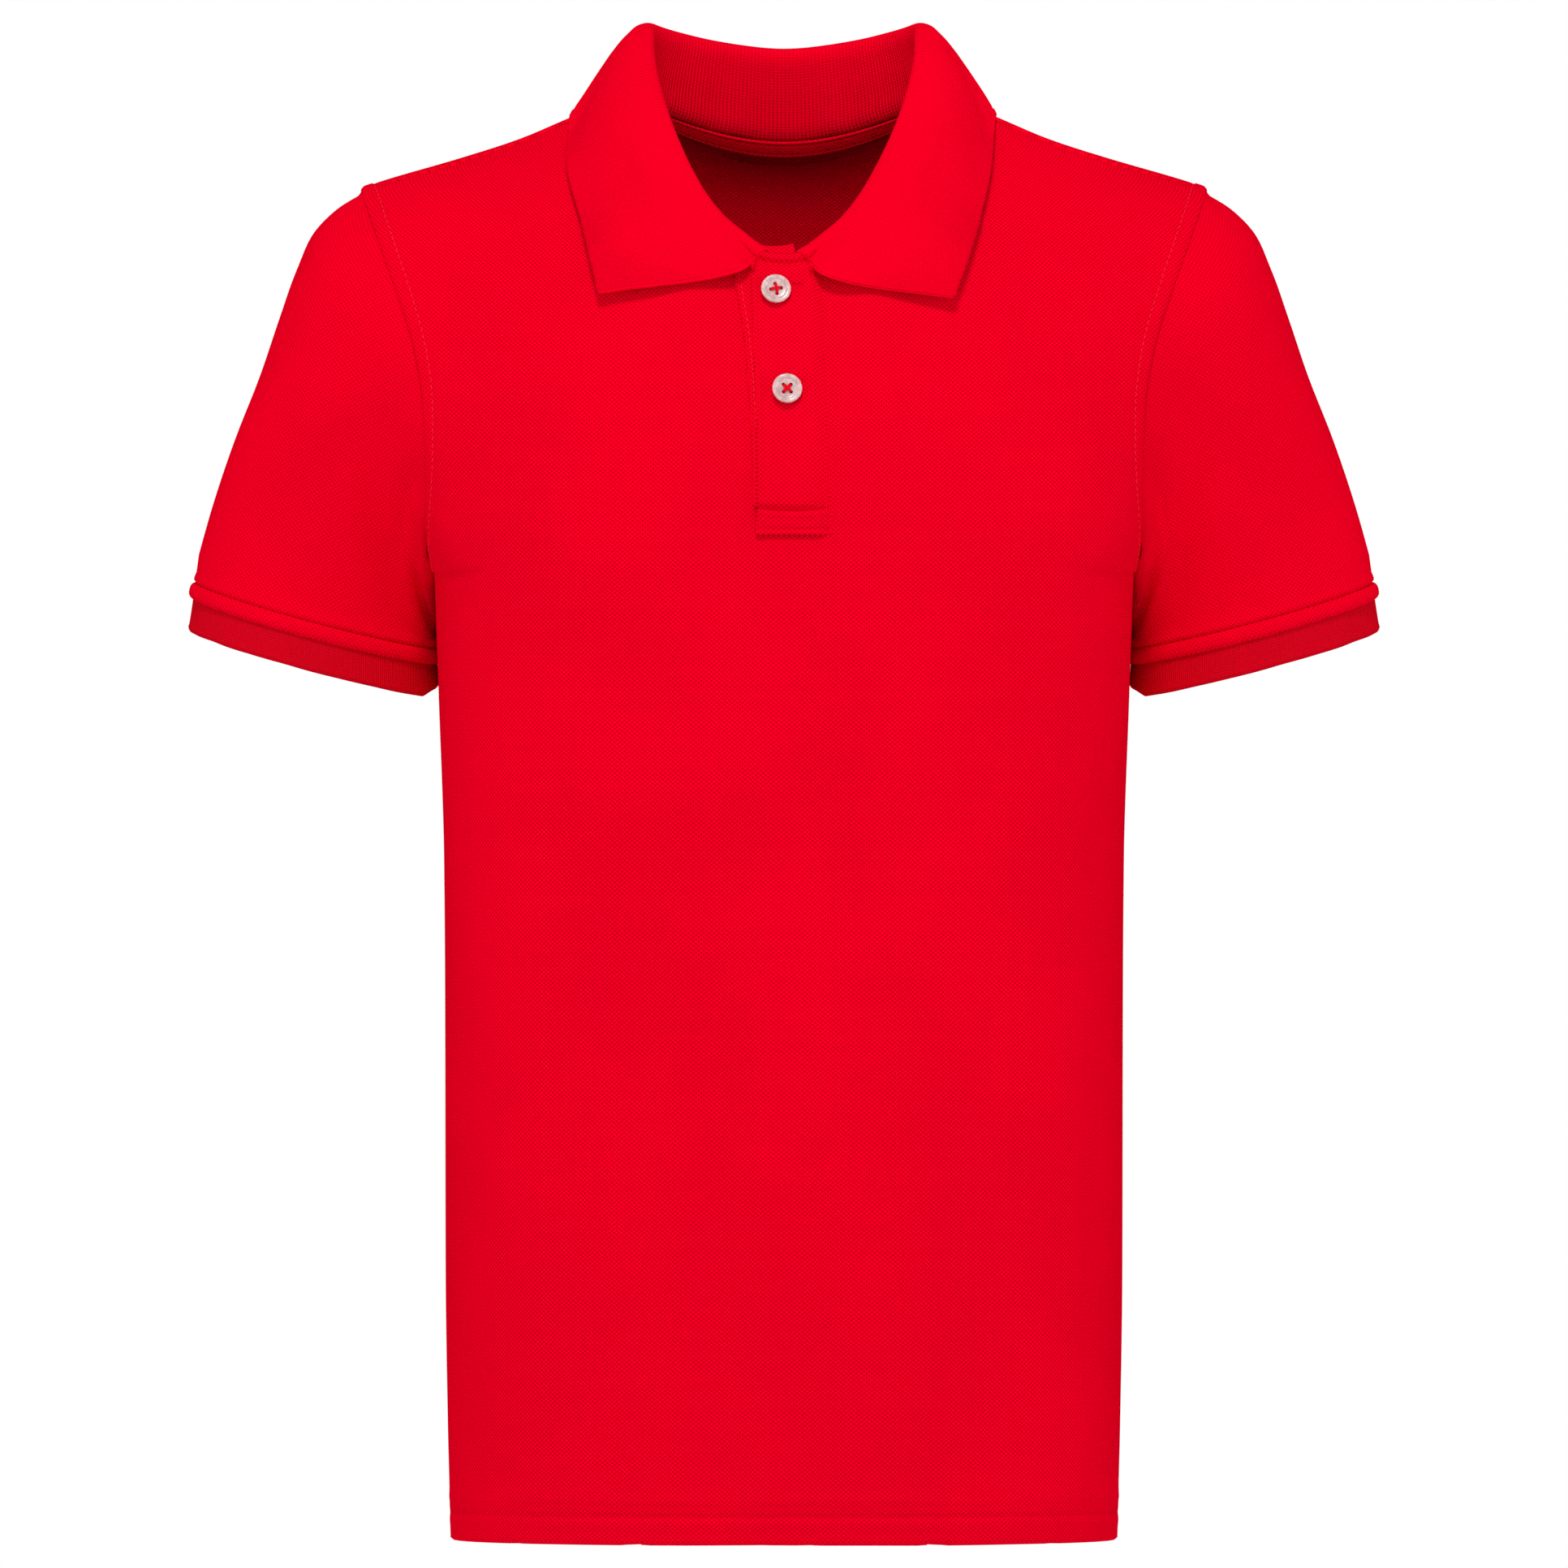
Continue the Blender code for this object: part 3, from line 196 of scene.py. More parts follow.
SHOULDER_OMEGA = 93.0
SHOULDER_FADE = 16.0
LEAF_SAG = {-1: 0.0013, 1: 0.0025}
SAG_FADE = 25.0
LEAF_CLEAR = 0.0025
LEAF_CLEAR_PLACKET = 0.0060
LEAF_CLEAR_FROM = 0.0190
LEAF_CLEAR_FADE = 0.0140
LEAF_SHOULDER = 0.0040
STAND_START = 0.0012
LEAF_SHARES = (0.18, 0.36, 0.54, 0.72, 0.88, 1.0)
COLLAR_STATIONS_FRONT = 11
COLLAR_STATIONS_BACK = 10

# ---- the photo's view ----
FRAME_WIDTH = 0.5990
CAMERA_AWAY = 10.0
CAMERA_Z = -0.2545
SENSOR = 36.0


# ---------------------------------------------------------------- helpers
def column(table, name):
    return np.array([row[name] for row in table], float)


def tangents(gap, slope):
    """Slopes at the points of a curve, from those of the stretches between them."""
    inner = (slope[:-1] * gap[1:] + slope[1:] * gap[:-1]) / (gap[:-1] + gap[1:])
    return np.concatenate((slope[:1], inner, slope[-1:]))


def cubic(t, start, leave, end, arrive):
    """A smooth run from start to end, with the given tangents there."""
    value = (2 * t ** 3 - 3 * t ** 2 + 1) * start + (t ** 3 - 2 * t ** 2 + t) * leave
    return value + (3 * t ** 2 - 2 * t ** 3) * end + (t ** 3 - t ** 2) * arrive


def curve_through(xs, ys, monotone=True):
    """A cubic through the points xs, ys, as a function of x; xs must rise."""
    gap = np.diff(xs)
    slope = np.diff(ys) / gap
    tangent = tangents(gap, slope)
    if monotone:
        same = slope[:-1] * slope[1:] > 0
        total = np.where(same, slope[:-1] + slope[1:], 1.0)
        tangent[1:-1] = np.where(same, 2 * slope[:-1] * slope[1:] / total, 0.0)

    def at(x):
        x = np.clip(x, xs[0], xs[-1])
        k = np.clip(np.searchsorted(xs, x) - 1, 0, len(gap) - 1)
        t = (x - xs[k]) / gap[k]
        return cubic(t, ys[k], gap[k] * tangent[k], ys[k + 1], gap[k] * tangent[k + 1])

    return at


def unit(vectors):
    length = np.linalg.norm(vectors, axis=-1, keepdims=True)
    return vectors / np.maximum(length, 1e-12)


def points(x, y, z):
    return np.stack(np.broadcast_arrays(x, y, z), axis=-1).astype(float)


def mix(a, b, t):
    return a + (b - a) * t


def ease(t):
    t = np.clip(t, 0.0, 1.0)
    return t * t * (3 - 2 * t)


def bump(distance, width):
    """1 at no distance, falling smoothly to 0."""
    return np.exp(-(distance / width) ** 2)


def side_flip(sign):
    """What points of the viewer's right side are multiplied by to stand on the side of sign."""
    return np.array([sign, 1.0, 1.0])


def ridges(distance, *rows):
    """The sum of rounded ridges, or grooves if negative; each is (place, height, width)."""
    return sum(height * bump(distance - place, width) for place, height, width in rows)


def at_run(wanted, run, rows):
    """The points, from rows of points, at the wanted distances along them."""
    return np.stack([np.interp(wanted, run, rows[..., k]) for k in range(3)], axis=-1)


# ---------------------------------------------------------------- the body's surface
LEVEL_Z = column(BODY_LEVELS, "z")
half_at = curve_through(LEVEL_Z, column(BODY_LEVELS, "half"))
depth_at = {
    -1: curve_through(LEVEL_Z, column(BODY_LEVELS, "front")),
    1: curve_through(LEVEL_Z, column(BODY_LEVELS, "back")),
}
shoulder_z = curve_through(column(SHOULDER_LINE, "x"), column(SHOULDER_LINE, "z"))
armhole_x = curve_through(column(ARMHOLE_LINE, "z"), column(ARMHOLE_LINE, "x"))
HALF = BODY_LEVELS[-1]["half"]
FULL_DEPTH = {-1: BODY_LEVELS[-1]["front"], 1: BODY_LEVELS[-1]["back"]}


def lower_point(side, r, z):
    """A point below the underarm; side is -1 front or 1 back, r a share of the half width."""
    depth = depth_at[side](z) * (1 - np.abs(r) ** ROUND) ** (1 / ROUND)
    return points(r * half_at(z), SIDE_Y + side * depth, z)


def armhole_point(side, v):
    """A point of the armhole's edge; v runs from 0 at the underarm to 1 at the shoulder."""
    middle = (UNDERARM_Z + TIP_Z) / 2
    z = middle - (TIP_Z - UNDERARM_Z) / 2 * np.cos(math.pi * v)
    x = armhole_x(z) + (ARMHOLE_BACK_WIDER * np.sin(math.pi * v) if side > 0 else 0.0)
    y = SIDE_Y + side * REACH[side] * np.clip(np.sin(math.pi * v), 0, 1) ** ARMHOLE_ROUND
    return points(x, y, z)


def ridge_z(side, x):
    """Height of a column's top; inside the neck it is that of the full column, before the cut."""
    full = SIDE_Y + side * FULL_DEPTH[side] - SHOULDER_Y_NECK
    centre_sine = math.sqrt(1 - ((NECK_Y[side] - SHOULDER_Y_NECK) / full) ** 2)
    centre = UNDERARM_Z + (NECK_Z[side] - UNDERARM_Z) / centre_sine
    across = np.clip(np.abs(x) / NECK_X, 0, 1)
    inside = mix(centre, SHOULDER_LINE[0]["z"], across ** 2)
    return np.where(np.abs(x) < NECK_X, inside, shoulder_z(np.abs(x)))


def top_angle(side, x):
    """How far a column turns over before its top edge: less inside the neck opening."""
    full = SIDE_Y + side * FULL_DEPTH[side] - SHOULDER_Y_NECK
    drop = np.sqrt(1 - np.clip(np.abs(x) / NECK_X, 0, 1) ** 2)
    return np.arccos(drop * (NECK_Y[side] - SHOULDER_Y_NECK) / full)


def shoulder_y(x):
    return mix(SHOULDER_Y_NECK, SIDE_Y, np.clip((np.abs(x) - NECK_X) / (TIP_X - NECK_X), 0, 1))


def column_x(r):
    return r * (HALF + (TIP_X - HALF) * r * r)


def column_profile(side, r, v):
    x = column_x(r)
    turn = v * top_angle(side, x)
    ridge_y = shoulder_y(x)
    centre_y = SIDE_Y + side * FULL_DEPTH[side]
    y = ridge_y + (centre_y - ridge_y) * np.cos(turn)
    z = UNDERARM_Z + (ridge_z(side, x) - UNDERARM_Z) * np.sin(turn)
    return y, z


def top_edge(side, r):
    y, z = column_profile(side, r, 1.0)
    return points(column_x(r), y, z)


def upper_point(side, r, v):
    """A point above the underarm: the column's own form, drawn to the armhole at its side."""
    top = top_edge(side, r)
    edge = armhole_point(side, v)
    reach = np.abs(r)
    free_y, free_z = column_profile(side, r, v)
    edge_z = UNDERARM_Z + (top[..., 2] - UNDERARM_Z) * (1 - np.cos(math.pi * v)) / 2
    z = mix(free_z, edge_z, ease((reach - EDGE_SHARE) / (1 - EDGE_SHARE)))
    x = r * (HALF + (edge[..., 0] - HALF) * r * r)
    power = ROUND_HIGH + (ROUND - ROUND_HIGH) * np.exp(-(v / ROUND_FADE) ** 2)
    taper = (1 - np.clip(reach, 0, 1) ** ROUND) ** (1 / power)
    y = edge[..., 1] + (free_y - edge[..., 1]) * taper
    y = y + (top[..., 1] - SIDE_Y) * (1 - taper) * v ** TOP_BEND
    return points(x, y, z)


def panel_point(side, r, v):
    """A point of a panel; v is -1 at the hem, 0 at the underarm and 1 at the top edge."""
    r, v = np.broadcast_arrays(np.asarray(r, float), np.asarray(v, float))
    z = mix(UNDERARM_Z, HEM_Z, np.clip(-v, 0, 1))
    low = lower_point(side, r, z)
    high = upper_point(side, r, np.clip(v, 0, 1))
    return np.where((v <= 0)[..., None], low, high)


def panel_normal(side, r, v, step=0.01):
    r, v = np.broadcast_arrays(np.asarray(r, float), np.asarray(v, float))
    across = (panel_point(side, np.clip(r + step, -1, 1), v)
              - panel_point(side, np.clip(r - step, -1, 1), v))
    along = (panel_point(side, r, np.clip(v + step, -1, 1))
             - panel_point(side, r, np.clip(v - step, -1, 1)))
    return unit(np.cross(across, along) * -side)


def level_to_v(z):
    return (z - UNDERARM_Z) / (UNDERARM_Z - HEM_Z)


def fraction_at_top(x):
    """The r of the column that reaches x at the top edge."""
    r = x / HALF
    for _ in range(12):
        r = x / (HALF + (TIP_X - HALF) * r * r)
    return r


def locate(side, x, value, axis=2):
    """The r and v of the panel's point at x and a height, or at x and y with axis 1."""
    x, value = np.broadcast_arrays(np.asarray(x, float), np.asarray(value, float))
    rising = 1 if axis == 2 else -side
    r = np.clip(x / HALF, -1, 1)
    for _ in range(8):
        low = np.zeros_like(r)
        high = np.ones_like(r)
        for _ in range(24):
            v = (low + high) / 2
            beyond = (panel_point(side, r, v)[..., axis] - value) * rising > 0
            high = np.where(beyond, v, high)
            low = np.where(beyond, low, v)
        reached = panel_point(side, r, v)[..., 0]
        r = np.where(np.abs(x) < 1e-5, 0.0, r * x / np.where(np.abs(reached) < 1e-9, 1.0, reached))
        r = np.clip(r, -1, 1)
    return r, v


def grid_normals(grid, closed):
    if closed:
        across = np.roll(grid, -1, axis=1) - np.roll(grid, 1, axis=1)
    else:
        across = np.gradient(grid, axis=1)
    return unit(np.cross(across, np.gradient(grid, axis=0)))


def lengths(grid, axis):
    """Distance run along an axis of a grid of points, from its first row or column."""
    step = np.linalg.norm(np.diff(grid, axis=axis), axis=-1)
    start = np.zeros_like(np.take(step, [0], axis=axis))
    return np.concatenate((start, np.cumsum(step, axis=axis)), axis=axis)


# ---------------------------------------------------------------- materials
RANGE_SOCKETS = ("From Min", "From Max", "To Min", "To Max")


class Graph:
    """Short hand for a material's nodes."""

    def __init__(self, name, colour, roughness):
        self.material = bpy.data.materials.new(name)
        self.material.use_nodes = True
        self.tree = self.material.node_tree
        self.shader = self.tree.nodes["Principled BSDF"]
        self.set("Base Color", colour)
        self.set("Roughness", roughness)
        self.set("Metallic", 0.0)

    def set(self, socket, value):
        self.shader.inputs[socket].default_value = value

    def node(self, kind, **inputs):
        made = self.tree.nodes.new(kind)
        for key, value in inputs.items():
            self.feed(made.inputs[key.replace("_", " ")], value)
        return made

    def feed(self, socket, value):
        if isinstance(value, bpy.types.NodeSocket):
            self.tree.links.new(value, socket)
        else:
            socket.default_value = value

    def math(self, operation, *values):
        made = self.tree.nodes.new("ShaderNodeMath")
        made.operation = operation
        for socket, value in zip(made.inputs, values):
            self.feed(socket, value)
        return made.outputs[0]

    def spread(self, value, low, high, to_low=0.0, to_high=1.0):
        """Maps low..high smoothly to the given values."""
        made = self.tree.nodes.new("ShaderNodeMapRange")
        made.interpolation_type = "SMOOTHSTEP"
        self.feed(made.inputs["Value"], value)
        for name, number in zip(RANGE_SOCKETS, (low, high, to_low, to_high)):
            self.feed(made.inputs[name], number)
        return made.outputs["Result"]

    def blend(self, share, a, b, kind="MIX"):
        made = self.tree.nodes.new("ShaderNodeMix")
        made.data_type = "RGBA"
        made.blend_type = kind
        self.feed(made.inputs["Factor"], share)
        self.feed(made.inputs[6], a)
        self.feed(made.inputs[7], b)
        return made.outputs[2]

    def wave(self, value, length):
        return self.math("COSINE", self.math("MULTIPLY", value, 2 * math.pi / length))

    def shaded(self, colour, tone):
        grey = self.node("ShaderNodeCombineXYZ", X=tone, Y=tone, Z=tone).outputs[0]
        return self.blend(1.0, colour, grey, "MULTIPLY")

    def paint(self, colour):
        self.feed(self.shader.inputs["Base Color"], colour)
        return self.material

    def uv(self):
        made = self.node("ShaderNodeUVMap")
        made.uv_map = "knit"
        parts = self.node("ShaderNodeSeparateXYZ", Vector=made.outputs[0])
        return parts.outputs[0], parts.outputs[1]

    def node_attribute(self, name):
        made = self.node("ShaderNodeAttribute")
        made.attribute_name = name
        return made.outputs["Fac"]

    def noise(self, scale, detail=3.0, roughness=0.55):
        place = self.node("ShaderNodeTexCoord").outputs["Object"]
        made = self.node("ShaderNodeTexNoise", Vector=place, Scale=scale, Detail=detail,
                         Roughness=roughness)
        return made.outputs[0]

    def relief(self, height, distance, strength=1.0):
        made = self.node("ShaderNodeBump", Height=height, Distance=distance, Strength=strength)
        self.tree.links.new(made.outputs[0], self.shader.inputs["Normal"])


RED = (0.88, 0.0, 0.0160, 1.0)
# Painted shade: the colour that the knit's pits and rib grooves are darkened toward.
RECESS_SHADE_RED = (0.46, 0.0, 0.0080, 1.0)
# Painted light: a lighter copy of the cloth's red for the collar, whose leaf faces up into the light.
COLLAR_LIT_RED = (0.93, 0.0, 0.0172, 1.0)
# Painted shade: a darker copy of the cloth's red for the cuffs' rib.
CUFF_SHADED_RED = (0.74, 0.0020, 0.0140, 1.0)
THREAD_RED = (0.92, 0.0, 0.0165, 1.0)
PIQUE_ACROSS = 0.00196
PIQUE_UP = 0.00083
PIQUE_DEPTH = 0.00024
RIB_COURSE = 0.0011
RIB_DEPTH = 0.00018
FIBRE_SCALE = 2600.0
CLOTH_ROUGHNESS = 0.88


def cloth_look(graph):
    graph.set("Specular IOR Level", 0.0)
    graph.set("Sheen Weight", 0.08)
    graph.set("Sheen Roughness", 0.60)
    graph.set("Sheen Tint", (1.0, 0.0, 0.015, 1.0))


def mottled(graph, colour):
    """The cloth's colour with the soft unevenness of dyed cotton, multiplied by the shade attribute,
    which carries painted light and shade.
    """
    broad = graph.spread(graph.noise(14.0, 3.0), 0.36, 0.66)
    fine = graph.spread(graph.noise(900.0, 2.0), 0.30, 0.70)
    tone = graph.math("MULTIPLY_ADD", broad, 0.06, 0.94)
    tone = graph.math("MULTIPLY_ADD", fine, 0.05, graph.math("SUBTRACT", tone, 0.02))
    return graph.shaded(colour, graph.math("MULTIPLY", tone, graph.node_attribute("shade")))


def knit(name, red, scale, wobble):
    """A cloth's look, and its two knit directions; its upright lines wander by wobble."""
    graph = Graph(name, red, CLOTH_ROUGHNESS)
    cloth_look(graph)
    u, v = graph.uv()
    shift = graph.math("MULTIPLY_ADD", graph.noise(scale, 2.0), wobble, -wobble / 2)
    return graph, graph.math("ADD", u, shift), v


def knit_relief(graph, height, fuzz, depth):
    """The knit's height, with loose fibres on it."""
    fibres = graph.math("MULTIPLY", graph.noise(FIBRE_SCALE, 2.0), fuzz)
    graph.relief(graph.math("ADD", height, fibres), depth, 0.9)


def pique(name, deep):
    """Pique knit: rows of small pits, each row shifted by half a pit."""
    graph, u, v = knit(name, RED, 260.0, 0.00024)
    across = graph.wave(u, PIQUE_ACROSS)
    up = graph.wave(v, PIQUE_UP * 2)
    pit = graph.spread(graph.math("MULTIPLY", across, up), 0.10, 0.90)
    wale = graph.wave(u, PIQUE_ACROSS / 4)
    height = graph.math("MULTIPLY_ADD", pit, -1.0, graph.math("MULTIPLY", wale, 0.10))
    knit_relief(graph, height, 0.35, PIQUE_DEPTH)
    # The pits are coloured darker: painted shade in them.
    dark = graph.math("MULTIPLY", pit, deep)
    return graph.paint(mottled(graph, graph.blend(dark, RED, RECESS_SHADE_RED)))


def rib(name, pitch, red, deep, groove_shade_on_stand=0.0):
    """Fine rib knit: upright wales with small stitches along them, stretched open on the stand; the
    grooves between the wales are coloured darker as painted shade, most on the stand.
    """
    graph, u, v = knit(name, red, 180.0, 0.0004)
    wale = graph.wave(u, pitch)
    course = graph.wave(v, RIB_COURSE)
    knit_relief(graph, graph.math("MULTIPLY_ADD", course, 0.25, wale), 0.6, RIB_DEPTH)
    # The grooves between the wales are coloured darker, more on the stand: painted shade in them.
    dark = graph.spread(graph.math("MULTIPLY_ADD", course, 0.45, wale), -0.2, -1.1)
    stand_groove_shade = graph.math("MULTIPLY", graph.node_attribute("stand"), groove_shade_on_stand)
    dark = graph.math("MULTIPLY", dark, graph.math("ADD", stand_groove_shade, deep))
    return graph.paint(mottled(graph, graph.blend(dark, red, RECESS_SHADE_RED)))


def thread(name, colour):
    graph = Graph(name, colour, 0.55)
    graph.set("Specular IOR Level", 0.0)
    twist = graph.node("ShaderNodeTexWave", Scale=900.0, Distortion=1.5,
                       Vector=graph.node("ShaderNodeTexCoord").outputs["Object"]).outputs[1]
    graph.relief(twist, 0.00008, 0.8)
    return graph.paint(graph.shaded(colour, graph.spread(twist, 0.0, 1.0, 0.75, 0.95)))


def pearl(name):
    """Moulded shirt-button plastic, cloudy and a little pink."""
    graph = Graph(name, (0.70, 0.53, 0.52, 1.0), 0.20)
    graph.set("Specular IOR Level", 0.55)
    graph.set("Coat Weight", 0.4)
    graph.set("Coat Roughness", 0.08)
    graph.set("Subsurface Weight", 0.35)
    graph.set("Subsurface Radius", (0.0012, 0.0006, 0.0006))
    graph.set("Subsurface Scale", 1.0)
    cloud = graph.spread(graph.noise(420.0, 4.0), 0.35, 0.70)
    graph.paint(graph.blend(cloud, (0.54, 0.35, 0.345, 1.0), (0.70, 0.52, 0.505, 1.0)))
    graph.relief(graph.noise(300.0, 2.0), 0.00006, 0.3)
    return graph.material


PIQUE = pique("pique_cloth", 0.74)
SLEEVE_PIQUE = pique("sleeve_pique_cloth", 0.44)
COLLAR_RIB = rib("collar_rib", 0.00143, COLLAR_LIT_RED, 0.16, 0.80)
CUFF_RIB = rib("cuff_rib", 0.00090, CUFF_SHADED_RED, 0.40)
THREAD = thread("sewing_thread", THREAD_RED)
# Painted highlight: thread coloured paler than the cloth, for the light specks on the armhole and placket
# stitches.
PAINTED_HIGHLIGHT_THREAD = thread("painted_highlight_sewing_thread", (0.98, 0.030, 0.050, 1.0))
# Painted shade: thread coloured dark for stitches sitting in shadow, in the sleeve band's groove, on the
# neck tape and round the buttonhole.
PAINTED_SHADE_THREAD = thread("painted_shade_sewing_thread", (0.42, 0.0, 0.0080, 1.0))
BUTTON_THREAD = thread("button_thread", (0.90, 0.005, 0.02, 1.0))
PEARL = pearl("button_pearl")


# ---------------------------------------------------------------- meshes
# Painted light and shade on the collar's stand: it is coloured a little lighter than the leaf near the
# fold, and darker down toward the neck seam.
STAND_PAINTED_LIGHT = 0.06
STAND_PAINTED_LIGHT_BY = 0.15
STAND_PAINTED_SHADE = 0.22
RIM_ROUND = 0.42


def placed(name, data):
    """A new object in the scene."""
    made = bpy.data.objects.new(name, data)
    bpy.context.scene.collection.objects.link(made)
    return made


def write_marks(mesh, name, values):
    """A number on each of the mesh's points, for its material."""
    mesh.attributes.new(name, "FLOAT", "POINT").data.foreach_set("value", values.astype(np.float32))


def finish_piece(made, material, node=None):
    made.data.materials.clear()
    made.data.materials.append(material)
    made.data.shade_smooth()
    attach(made, "root")
    if node:
        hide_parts(node)
    return made


def shell(name, outer, inner, uv, closed=False, skip=None, inner_shade=None, stand=None):
    """A cloth wall between two grids of points, with a rounded rim on its open edges. uv is
    [row][column] and has one more column than a closed grid."""
    rows, columns = outer.shape[:2]
    across = columns if closed else columns - 1
    keep = np.ones((rows - 1, across), bool) if skip is None else ~skip
    row, col = np.nonzero(keep)
    after = (col + 1) % columns
    ring = np.stack((row * columns + col, row * columns + after,
                     (row + 1) * columns + after, (row + 1) * columns + col), axis=1)
    count = rows * columns
    flat_outer, flat_inner = outer.reshape(-1, 3), inner.reshape(-1, 3)
    turned = not outward(flat_outer, flat_inner, ring)
    if turned:
        ring = ring[:, ::-1]
    starts = ring.reshape(-1)
    ends = np.roll(ring, -1, axis=1).reshape(-1)
    forward = set(zip(starts.tolist(), ends.tolist()))
    rim = sorted((a, b) for a, b in forward if (b, a) not in forward)
    middle = (flat_outer + flat_inner) / 2
    centre = middle[ring].mean(axis=1, keepdims=True)
    push = np.zeros_like(middle)
    np.add.at(push, ring.reshape(-1), (middle[ring] - centre).reshape(-1, 3))
    on_rim = sorted({a for pair in rim for a in pair})
    number = {a: 2 * count + k for k, a in enumerate(on_rim)}
    thick = np.linalg.norm(flat_outer - flat_inner, axis=1)
    bulge = middle[on_rim] + unit(push[on_rim]) * thick[on_rim, None] * RIM_ROUND
    places = np.concatenate((flat_outer, flat_inner, bulge))
    faces = [tuple(f) for f in ring.tolist()]
    faces += [tuple(f) for f in (ring[:, ::-1] + count).tolist()]
    for a, b in rim:
        faces.append((b, a, number[a], number[b]))
        faces.append((number[b], number[a], a + count, b + count))
    used = np.zeros(len(places), bool)
    used[ring.reshape(-1)] = True
    used[ring.reshape(-1) + count] = True
    used[2 * count:] = True
    renumber = np.cumsum(used) - 1
    faces = [tuple(int(renumber[i]) for i in f) for f in faces]
    mesh = bpy.data.meshes.new(name)
    mesh.from_pydata(places[used].tolist(), [], faces)
    layer = mesh.uv_layers.new(name="knit")
    corner_col = np.stack((col, col + 1, col + 1, col), axis=1)
    corner_row = np.stack((row, row, row + 1, row + 1), axis=1)
    face_uv = uv[corner_row, corner_col]
    if turned:
        face_uv = face_uv[:, ::-1]
    first_uv = uv[:, :columns].reshape(-1, 2)
    rim_uv = [first_uv[[b, a, a, b]] for a, b in rim for _ in range(2)]
    every = np.concatenate((face_uv.reshape(-1, 2), face_uv[:, ::-1].reshape(-1, 2),
                            np.array(rim_uv).reshape(-1, 2)))
    layer.data.foreach_set("uv", every.astype(np.float32).ravel())
    # Painted light and shade, as a number the cloth's colour is multiplied by: on the inside of the back
    # and on the collar's stand.
    shade = np.ones(len(places))
    if inner_shade is not None:
        shade[count:2 * count] = inner_shade.ravel()
    if stand is not None:
        marks = np.zeros(len(places))
        marks[:2 * count] = np.tile(stand.ravel(), 2)
        write_marks(mesh, "stand", marks[used])
        # Painted light near the stand's fold, painted shade down toward the neck seam.
        shade = 1 + STAND_PAINTED_LIGHT * ease(marks / STAND_PAINTED_LIGHT_BY) - STAND_PAINTED_SHADE * marks ** 3
    write_marks(mesh, "shade", shade[used])
    return placed(name, mesh)


def outward(outer, inner, ring):
    """True if the faces on the outer points look away from the inner ones."""
    a, b, c = outer[ring[:, 0]], outer[ring[:, 1]], outer[ring[:, 2]]
    normal = np.cross(b - a, c - a)
    return float((normal * (a - inner[ring[:, 0]])).sum()) > 0


def wrap(uv_u, uv_v):
    return np.stack(np.broadcast_arrays(uv_u, uv_v), axis=-1).astype(float)


class Threads:
    """Round threads, gathered into one piece."""

    def __init__(self, sides):
        self.turn = np.linspace(0, 2 * math.pi, sides, endpoint=False)
        self.places, self.faces = [], []

    def add(self, centres, across, up):
        """One thread along its centres; across and up are its half widths."""
        sides = len(self.turn)
        first = len(self.places)
        for centre in centres:
            self.places += [centre + across * math.cos(at) + up * math.sin(at) for at in self.turn]
        last = len(self.places) - sides
        for ring in range(first, last, sides):
            for k in range(sides):
                a, b = ring + k, ring + (k + 1) % sides
                self.faces.append((a, b, b + sides, a + sides))
        self.faces.append(tuple(first + k for k in reversed(range(sides))))
        self.faces.append(tuple(last + k for k in range(sides)))

    def piece(self, name, material, place=None):
        mesh = bpy.data.meshes.new(name)
        mesh.from_pydata([tuple(p) for p in self.places], [], self.faces)
        made = placed(name, mesh)
        if place is not None:
            made.matrix_world = place
        return finish_piece(made, material)


THREAD_SIDES = 6
STITCH_PITCH = 0.0028
STITCH_LENGTH = 0.0020
STITCH_LIFT = (-0.00022, 0.00002, 0.00008, 0.00002, -0.00022)
STITCH_AT = (0.0, 0.22, 0.5, 0.78, 1.0)
STITCH_FLAT = 0.8
FINE_STITCH = 0.00014
BAND_STITCH = 0.00018
TAPE_STITCH = 0.00020


def resampled(line, normals, pitch):
    """Points and normals at even steps along a line."""
    run = lengths(line, 0)
    at = np.arange(0.0, run[-1], pitch)
    return at_run(at, run, line), unit(at_run(at, run, normals))


def stitches(name, runs, seed, radius=0.00016, material=None):
    """Short arched threads along lines of points; each run is (points, normals)."""
    random = np.random.default_rng(seed)
    threads = Threads(THREAD_SIDES)
    for line, normals in runs:
        fine, facing = resampled(line, normals, STITCH_PITCH / 4)
        for first in range(0, len(fine) - 4, 4):
            heading = unit(fine[first + 3] - fine[first])
            up = unit(facing[first + 1] - heading * np.dot(facing[first + 1], heading))
            side = np.cross(up, heading)
            start = fine[first] + side * random.normal(0, 0.00006)
            reach = STITCH_LENGTH * (1 + random.normal(0, 0.03))
            centres = [start + heading * reach * share + up * (lift + radius * 0.3)
                       for share, lift in zip(STITCH_AT, STITCH_LIFT)]
            threads.add(centres, radius * side, radius * STITCH_FLAT * up)
    return threads.piece(name, material or THREAD)


